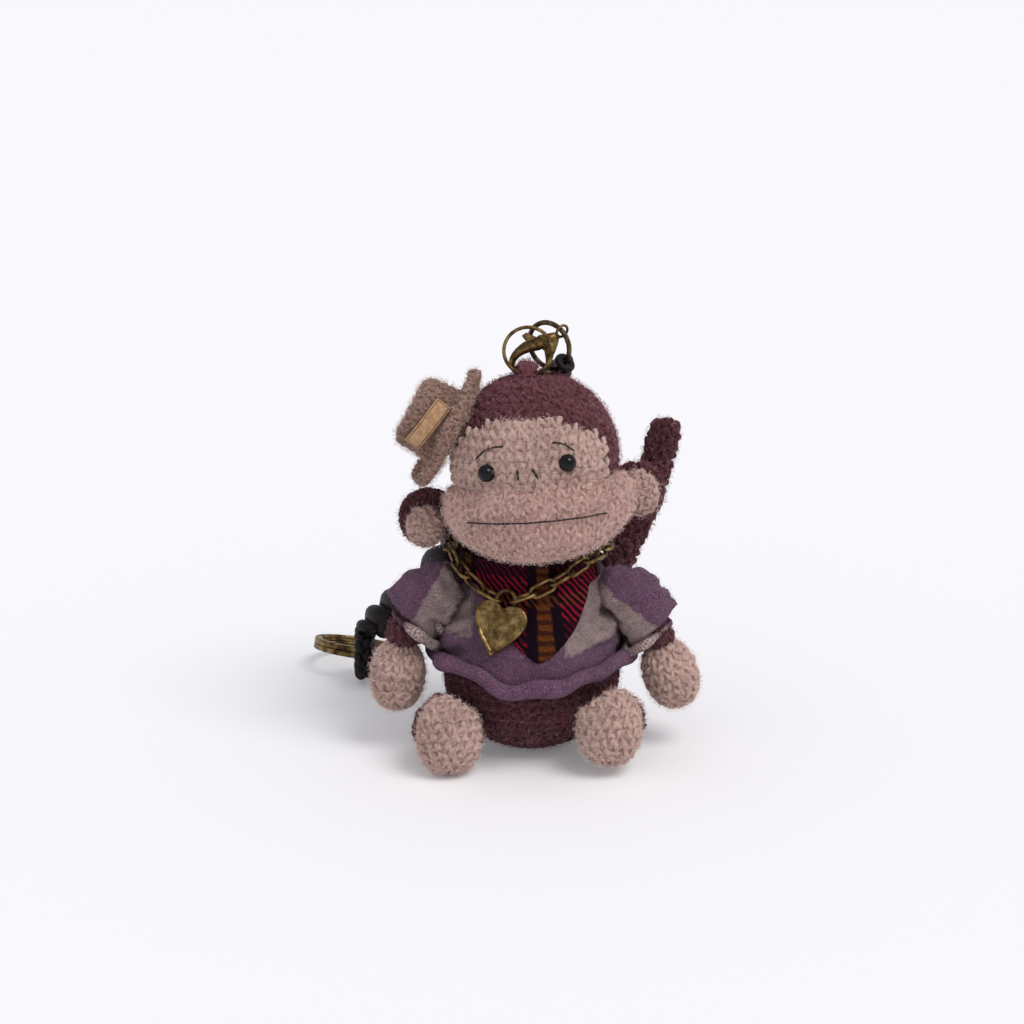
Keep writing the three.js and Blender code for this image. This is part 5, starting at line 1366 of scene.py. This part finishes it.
class SweaterOperator(bpy.types.Operator):
    """Knit the sweater with its rolled hem, and its sleeves"""

    bl_idname = "monkey.sweater"
    bl_label = "Sweater"

    def execute(self, context):
        grid = curtain_grid("sweater_body", (0, 0), 0.014, 0.0462, 144, 44, 0.045)
        grid = smoothed(grid, 2, closed_ends=False)
        grid = ripples(grid, 0.45 * MM, 51, ((4, 2), (7, 4), (12, 6)))
        grid = self.folded(grid)
        grid = rolled(self.lifted(grid), 1.2 * MM)
        mesh, girth, length = cloth_mesh("sweater", grid, 0.8 * MM, KNIT_STITCH, self.body_band)
        sweater = piece("sweater", mesh, "purple_knit", "torso", ["sweater_body"])
        fuzzed("sweater_fuzz", grid, "purple_knit", "torso", "purple_wool_fibres", 9.0e5, 0.7 * MM, 52)
        routes = [[(-14.5, -1.3, 36.3), (-19, -1.8, 36.4), (-25, -2.6, 35.4), (-29, -3.6, 31.5)],
                  [(14.5, -1.3, 36.1), (19, -1.8, 35.6), (25, -2.5, 33), (28.4, -3, 29.4)]]
        for number, (side, route, band) in enumerate(zip(SIDES, routes, (self.left_band, self.right_band))):
            name, body = f"sleeve_{side}", f"{side}_arm"
            frames = spine_frames(smooth_path(metres(route), 24), AHEAD)
            stations = [(*f, 0.0) for f in frames][::-1]
            grid = smoothed(cast_grid(solid_of(name), stations, 72, 0.013, 3 * MM)[:, ::-1], 3, closed_ends=False)
            grid = ripples(grid, 0.5 * MM, 53 + number, ((3, 2), (4, 4), (7, 4)))
            grid = creased(grid, 1.25 * MM, 58 + number, 36, width=1.1 * MM, length=4.5 * MM)
            grid = rolled(grid, 0.8 * MM, 0.7, 7)
            mesh, girth, length = cloth_mesh(name + "_knit", grid, 0.7 * MM, KNIT_STITCH, band)
            sleeve = piece(name + "_knit", mesh, "purple_knit", body, [name])
            fuzzed(name + "_fuzz", grid, "purple_knit", body, "purple_wool_fibres", 1.2e6, 0.8 * MM, 55 + number)
        return {"FINISHED"}

    @staticmethod
    def folded(grid):
        """The sweater with its creases, but for the front under the bandana's flap."""
        beside = np.abs(grid[:, :, 0] / MM - 1) / 4 - 3
        below = 5.5 - grid[:, :, 2] / MM / 4
        free = np.clip(np.where(grid[:, :, 1] > 0, 1, np.maximum(beside, below)), 0, 1)
        return grid + (creased(grid, 1.7 * MM, 57, 80) - grid) * free[:, :, None]

    @staticmethod
    def lifted(grid):
        """The sweater with its uneven hem, higher in front and arched over the feet."""
        rows, count = grid.shape[:2]
        turn = np.linspace(0, FULL_TURN, count, endpoint=False)
        feet = sum(np.exp(-((np.cos(turn - a) - 1) / 0.05) ** 2) for a in (-0.68, 0.68))
        lift = 3.0 * np.maximum(0, np.cos(turn)) + 1.6 * feet + 0.35 * np.sin(7 * turn) + 0.25 * np.sin(13 * turn + 1)
        grid[:, :, 2] += lift * MM * ((1 - np.arange(rows) / rows) ** 1.6)[:, None]
        return grid

    @staticmethod
    def body_band(x, y, z):
        right = min(x - 7.5, z - 28.5 - 0.2 * (x - 10), 41.5 - z)
        left = min(-14 - x, z - 31, 40 - z)
        return float(np.clip(0.5 + max(right, left) * 0.12, 0, 1))

    @staticmethod
    def left_band(x, y, z):
        return float(np.clip(0.5 + (31.6 + 1.6 * (x + 29.5) - z) * 0.11, 0, 1))

    @staticmethod
    def right_band(x, y, z):
        return float(np.clip(0.5 + (39.9 - 0.745 * (x - 18.6) - z) * 0.16, 0, 1))


class BandanaOperator(bpy.types.Operator):
    """Tie the tartan bandana round the neck"""

    bl_idname = "monkey.bandana"
    bl_label = "Bandana"

    @staticmethod
    def lower_edge(angle):
        """The pointed flap's edge: full on its right, straighter on its left."""
        turn = math.degrees(math.atan2(math.sin(angle), math.cos(angle))) - 5
        share = min(1.0, abs(turn) / 52)
        return (26.9 + 15.7 * (share ** 1.25 if turn > 0 else share)) * MM

    def execute(self, context):
        shift = 0.8
        grid = curtain_grid("bandana", (-shift * MM, 0), 0.026, 0.0545, 216, 44, 0.04, ease=3, bottom=self.lower_edge)
        grid = smoothed(grid, 2, closed_ends=False)
        mesh, girth, _ = cloth_mesh("bandana_cloth", grid, 0.55 * MM, (MM, MM))
        # The tartan runs round the neck and straight down, wherever the flap's edge is
        layer = mesh.uv_layers["Stitches"].data
        for loop in mesh.loops:
            corner = mesh.vertices[loop.vertex_index].co / MM
            angle = math.atan2(corner.x + shift, -corner.y)
            flat = math.hypot(corner.x + shift, corner.y)
            layer[loop.index].uv = (angle * 16.5 - 3.2, corner.z * 1.02 + flat * 0.25)
        cloth = piece("bandana_cloth", mesh, "tartan_cloth", "torso", ["bandana"])
        fuzzed("bandana_fuzz", grid, "tartan_cloth", "torso", "black_thread", 4.0e5, 0.5 * MM, 61)
        return {"FINISHED"}


# Hat

def hat_frame():
    """The hat's middle on the head, and its ways across, up the front and out."""
    e, a = math.radians(33), math.radians(3)
    out = Vector((-math.cos(e) * math.cos(a), math.sin(a), math.sin(e))).normalized()
    across = Vector((0, 1, 0)).cross(out).normalized()
    third = out.cross(across)
    turn = Matrix.Rotation(-HEAD_ROLL, 3, "Y")
    out, across, third = turn @ out, turn @ across, turn @ third
    return HEAD_CENTRE + (out * 18.5 - across * 4.0) * MM, across, third, out


class HatOperator(bpy.types.Operator):
    """Crochet the hat with its curled brim, and sew on the cork label"""

    bl_idname = "monkey.hat"
    bl_label = "Hat"

    def execute(self, context):
        centre, across, third, out = hat_frame()
        outline, around = smooth_path([(r, h, 0) for r, h in HAT_OUTLINE], 90), 96
        grid = np.zeros((len(outline), around, 3))
        for j, angle in enumerate(angles_round(around)):
            way = across * math.sin(angle) - third * math.cos(angle)
            dent = 1 + 0.025 * math.sin(2 * angle + 0.6) + 0.018 * math.sin(5 * angle)
            lift = 0.7 * math.sin(2 * angle - 0.7) + 0.4 * math.sin(3 * angle + 1.0) + 0.25 * math.sin(7 * angle)
            for i, (r, h, _) in enumerate(outline):
                brim = max(0.0, (r - 10) / 5)
                p = centre + (way * max(r, 0.0) * dent + out * (h + lift * brim)) * MM
                from_middle = p - HEAD_CENTRE
                if from_middle.length < HAT_CLEARANCE * MM:
                    p = HEAD_CENTRE + from_middle.normalized() * HAT_CLEARANCE * MM
                grid[i, j] = p
        form = even_rows(smoothed(grid[::-1], 1), 90)
        crocheted("hat", form, "hat_wool", 71, width=2.0 * MM, height=1.9 * MM, fuzz=4.5e6, hair=1.15 * MM,
                  sink=0.45 * MM)
        self.label(centre, across, third, out)
        return {"FINISHED"}

    @staticmethod
    def label(centre, across, third, out):
        """A bent slip of cork, its edges curled in a little."""
        radius, level, turned, slant, along, wide = 9.85, 7.4, math.radians(5), math.radians(-10), 12, 36
        corners = []
        for grow in (LABEL_THICKNESS, 0.0):
            for u, v in ((j / wide, i / along) for i in range(along + 1) for j in range(wide + 1)):
                x, y = (u - 0.5) * LABEL_WIDTH, (v - 0.5) * LABEL_HEIGHT
                angle = turned + (x * math.cos(slant) - y * math.sin(slant)) / radius
                up = x * math.sin(slant) + y * math.cos(slant)
                edge = min(u * LABEL_WIDTH, (1 - u) * LABEL_WIDTH, v * LABEL_HEIGHT, (1 - v) * LABEL_HEIGHT)
                curl = -0.18 * max(0.0, 1 - edge / 0.5) if grow else 0.0
                way = across * math.sin(angle) - third * math.cos(angle)
                corners.append(centre + (way * (radius + grow + curl) + out * (level + up)) * MM)
        faces, count = slab_faces(along, wide), len(corners) // 2
        mesh = mesh_from("hat_label_cork", corners, faces, smooth=False)
        flat = [(c % count % (wide + 1) / wide, c % count // (wide + 1) / along) for f in faces for c in f]
        mesh.uv_layers.new(name="Stitches").data.foreach_set("uv", np.array(flat, np.float32).ravel())
        piece("hat_label_cork", mesh, "cork", "head", ["hat_label"])


# Leather and metal

def plait(path, envelope, period=4.3):
    """Runs of points for three strands plaited flat about a path, within a changing radius."""
    strands = 3
    sides, ups = across_path(path)
    steps = step_lengths(path) / (np.maximum(envelope[1:], 1.2 * MM) * period)
    phase = running_total(steps) * 2 * math.pi
    runs = []
    for k in range(strands):
        turn = phase + FULL_TURN * k / strands
        wide = np.sin(turn) * envelope * 0.52
        deep = np.sin(2 * turn) * envelope * 0.3
        runs.append((path + sides * wide[:, None] + ups * deep[:, None], envelope * 0.44))
    return runs


class StrapOperator(bpy.types.Operator):
    """Plait the leather strap with a loop at each end"""

    bl_idname = "monkey.strap"
    bl_label = "Leather strap"

    def execute(self, context):
        route = smooth_path(STRAP_ROUTE, 260)
        runs = plait(route[:, :3] * MM, route[:, 3] * MM)
        x, y, z = END_LOOP
        end = [(x, y - END_LOOP_RADIUS * math.sin(a), z + END_LOOP_RADIUS * math.cos(a))
               for a in np.linspace(0, FULL_TURN, 81)]
        runs += plait(np.array(end) * MM, np.full(len(end), END_LOOP_REACH * MM), period=3.14)
        axis = Vector((-0.507, 0.437, -0.743)).normalized()
        back = Vector((0.246, 0.899, 0.361)).normalized()
        other = axis.cross(back)
        top = [TOP_LOOP + (back * math.cos(a) + other * math.sin(a)) * TOP_LOOP_RADIUS
               for a in np.linspace(0, FULL_TURN, 41)]
        runs.append((np.array([tuple(p) for p in top]) * MM, TOP_LOOP_REACH * MM))
        mesh = run_tree(thread_tree, path_mesh(runs), Material=material("black_leather"), Sides=14)
        piece("strap_plait", mesh, "black_leather", "strap", ["strap"])
        return {"FINISHED"}


def wire_path(node, half_straight, radius):
    """The middle of a ring's or a link's wire: two half circles joined by straights, lying as its node lies."""
    points = np.unique(np.round([v.co[:] for v in frame["nodes"][node].data.vertices], 7), axis=0)
    centre = (points.min(axis=0) + points.max(axis=0)) / 2 if half_straight == 0 else points.mean(axis=0)
    _, _, ways = np.linalg.svd(points - points.mean(axis=0), full_matrices=False)
    path = []
    for a in np.linspace(0, FULL_TURN, 49):
        along = radius * math.cos(a) + half_straight * np.sign(round(math.cos(a), 6))
        path.append(centre + (ways[0] * along + ways[1] * radius * math.sin(a)) * MM)
    return path


def wire_mesh(runs, slot, sides):
    """Round wire in one of the brasses along paths: [(path, radius), ...]."""
    return run_tree(thread_tree, path_mesh(runs), Material=material(slot), Sides=sides)


def rounded_copy(node):
    """A smooth copy of one of the frame's nodes: merged, its triangles paired, subdivided."""
    mesh = frame["nodes"][node].data.copy()
    build = bmesh.new()
    build.from_mesh(mesh)
    bmesh.ops.remove_doubles(build, verts=build.verts, dist=1e-6)
    bmesh.ops.join_triangles(build, faces=build.faces, angle_face_threshold=0.8, angle_shape_threshold=0.9)
    bmesh.ops.recalc_face_normals(build, faces=build.faces)
    build.to_mesh(mesh)
    build.free()
    holder = add_object("copy", mesh)
    smooth = holder.modifiers.new("Smooth", "SUBSURF")
    smooth.levels = smooth.render_levels = 1
    made = take_mesh(holder)
    made.polygons.foreach_set("use_smooth", [True] * len(made.polygons))
    made.materials.clear()
    return made


class MetalOperator(bpy.types.Operator):
    """Round off and age the chain, rings, clasp, heart and split ring"""

    bl_idname = "monkey.metal"
    bl_label = "Metal"

    def execute(self, context):
        links = sorted(n for n in frame["nodes"] if n.startswith("chain_link"))
        chain = wire_mesh([(wire_path(node, 1.6, 1.4), 0.45 * MM) for node in links], "antique_brass", 10)
        piece("chain", chain, "antique_brass", "torso", links)
        for node, slot, radius, wire in [("jump_ring", "antique_brass", 5.6, 0.425),
                                         ("strap_ring", "dark_brass", 5.55, 0.6)]:
            ring = wire_mesh([(wire_path(node, 0, radius), wire * MM)], slot, 14)
            piece(f"{node}_wire", ring, slot, body_of(node), [node])
        piece("clasp_body_metal", rounded_copy("clasp_body"), "antique_brass", body_of("clasp_body"), ["clasp_body"])
        for node, slot in [("clasp_lever", "antique_brass"), ("clasp_pin", "dark_brass")]:
            for holder in frame["nodes"][node].material_slots:
                holder.material = material(slot)
        self.heart()
        self.split_ring()
        return {"FINISHED"}

    @staticmethod
    def heart():
        """A heart with a raised rim round a bare field, and its cast ring."""
        w, h, hang = HEART_WIDTH / 2, HEART_HEIGHT, HEART_RING_RADIUS
        curves = [((0, -h * 0.6), (-w * 0.5, -h * 0.34), (-w, -h * 0.1), (-w, h * 0.14)),
                  ((-w, h * 0.14), (-w, h * 0.46), (-w * 0.2, h * 0.5), (0, h * 0.26)),
                  ((0, h * 0.26), (w * 0.2, h * 0.5), (w, h * 0.46), (w, h * 0.14)),
                  ((w, h * 0.14), (w, -h * 0.1), (w * 0.5, -h * 0.34), (0, -h * 0.6))]
        outline = []
        for a, b, c, d in curves:
            for t in np.linspace(0, 1, 24, endpoint=False):
                outline.append((1 - t) ** 3 * np.array(a) + 3 * (1 - t) ** 2 * t * np.array(b)
                               + 3 * (1 - t) * t * t * np.array(c) + t ** 3 * np.array(d))
        outline = np.array(outline)[::-1]
        core = np.array([0, -h * 0.02])
        # Share of the way out from the middle, and height over the heart's middle plane
        profile = [(0.3, 0.52), (0.6, 0.5), (0.8, 0.46), (0.84, 0.5), (0.87, 0.72), (0.93, 0.8), (0.98, 0.68),
                   (1.0, 0.4)]
        levels = [(0.0, 0.53), *profile, *[(s, -z) for s, z in profile[::-1]], (0.0, -0.53)]
        rows = [[(x, y - hang - h * 0.28, z) for x, y in core + (outline - core) * share] for share, z in levels]
        plate = closed_mesh("heart_plate", np.array(rows))
        plate.materials.append(material("antique_brass"))
        ring = [(hang * math.cos(a), hang * math.sin(a), 0) for a in np.linspace(0, FULL_TURN, 65)]
        whole = join_meshes("heart_charm", [plate, wire_mesh([(ring, HEART_RING_WIRE)], "antique_brass", 14)])
        place = Matrix.Translation(HEART_PLACE)
        for degrees, axis in HEART_TURNS:
            place = place @ Matrix.Rotation(math.radians(degrees), 4, axis)
        whole.transform(Matrix.Scale(MM, 4) @ place)
        face_outwards(whole)
        piece("heart_charm", whole, "antique_brass", "heart", ["heart_pendant"])

    @staticmethod
    def split_ring():
        """Two coils of flat wire pressed on each other."""
        across = Vector((1, 0, -0.149)).normalized()
        normal = across.cross(Vector((0, 1, -0.225))).normalized()
        ahead = normal.cross(across)
        centre, steps, radius = middle("split_ring"), 200, 11.6 - 0.92
        # The wire's start and length in turns, each coil's height off the middle, and how steeply the wire crosses over
        start, coiled, height, crossing = 0.04, 1.92, 0.72, 14
        profile = [(-0.9, -0.5), (-0.7, -0.7), (0.7, -0.7), (0.9, -0.5), (0.9, 0.5), (0.7, 0.7), (-0.7, 0.7),
                   (-0.9, 0.5)]
        corners = []
        for i in range(steps + 1):
            turns = start + coiled * i / steps
            angle = turns * 2 * math.pi
            rise = height * math.tanh((turns - 1.0) * crossing)
            way = across * math.cos(angle) + ahead * math.sin(angle)
            corners += [centre + (way * (radius + r) + normal * (z + rise)) * MM for r, z in profile]
        count = len(profile)
        ends = [tuple(range(count))[::-1], tuple(steps * count + j for j in range(count))]
        mesh = mesh_from("split_ring_coil", corners, tube_faces(steps + 1, count) + ends)
        face_outwards(mesh)
        piece("split_ring_coil", mesh, "antique_brass", "split_ring", ["split_ring"])


class LoopOperator(bpy.types.Operator):
    """Work the crochet loop on the crown that holds the ring and the clasp"""

    bl_idname = "monkey.loop"
    bl_label = "Crown loop"

    def execute(self, context):
        mesh = rounded_copy("head_loop")
        # The loop wears the head's lighter copy of the burgundy yarn, partly painted light
        mesh.materials.append(material("head_wool"))
        loop = piece("crown_loop", mesh, "burgundy_wool", "head", ["head_loop"])
        # Half a fibre's width is 0.028 mm here, where the other wool's is 0.022
        hairs = fuzz_over(mesh, "head_wool_fibres", 6.0e6, 1.0 * MM, 81, thickness=0.028 / 0.022)
        piece("crown_loop_fuzz", hairs, "burgundy_wool", "head")
        return {"FINISHED"}


class MonkeyPanel(bpy.types.Panel):
    """Lists the charm's settings and pieces"""

    bl_idname = "VIEW3D_PT_monkey"
    bl_label = "Crochet monkey charm"
    bl_space_type = "VIEW_3D"
    bl_region_type = "UI"
    bl_category = "Monkey"

    def draw(self, context):
        for settings in (context.scene.monkey_wool, context.scene.monkey_stage):
            box = self.layout.box()
            for name in settings.__annotations__:
                box.prop(settings, name)
        for operator in OPERATORS:
            self.layout.operator(operator.bl_idname)


OPERATORS = [StageOperator, TrunkOperator, HandsOperator, HeadOperator, FaceOperator, HatOperator, SweaterOperator,
             BandanaOperator, StrapOperator, MetalOperator, LoopOperator]
SETTINGS = {"monkey_wool": MonkeyWool, "monkey_stage": MonkeyStage}


def register():
    for made in [*SETTINGS.values(), *OPERATORS, MonkeyPanel]:
        bpy.utils.register_class(made)
    for name, settings in SETTINGS.items():
        setattr(bpy.types.Scene, name, bpy.props.PointerProperty(type=settings))


def unregister():
    for name in SETTINGS:
        delattr(bpy.types.Scene, name)
    for made in [MonkeyPanel, *OPERATORS[::-1], *list(SETTINGS.values())[::-1]]:
        bpy.utils.unregister_class(made)


def main():
    register()
    for operator in OPERATORS:
        family, name = operator.bl_idname.split(".")
        result = getattr(getattr(bpy.ops, family), name)()
        if result != {"FINISHED"}:
            raise RuntimeError(f"{operator.bl_label} wasn't made")


if __name__ == "__main__":
    main()
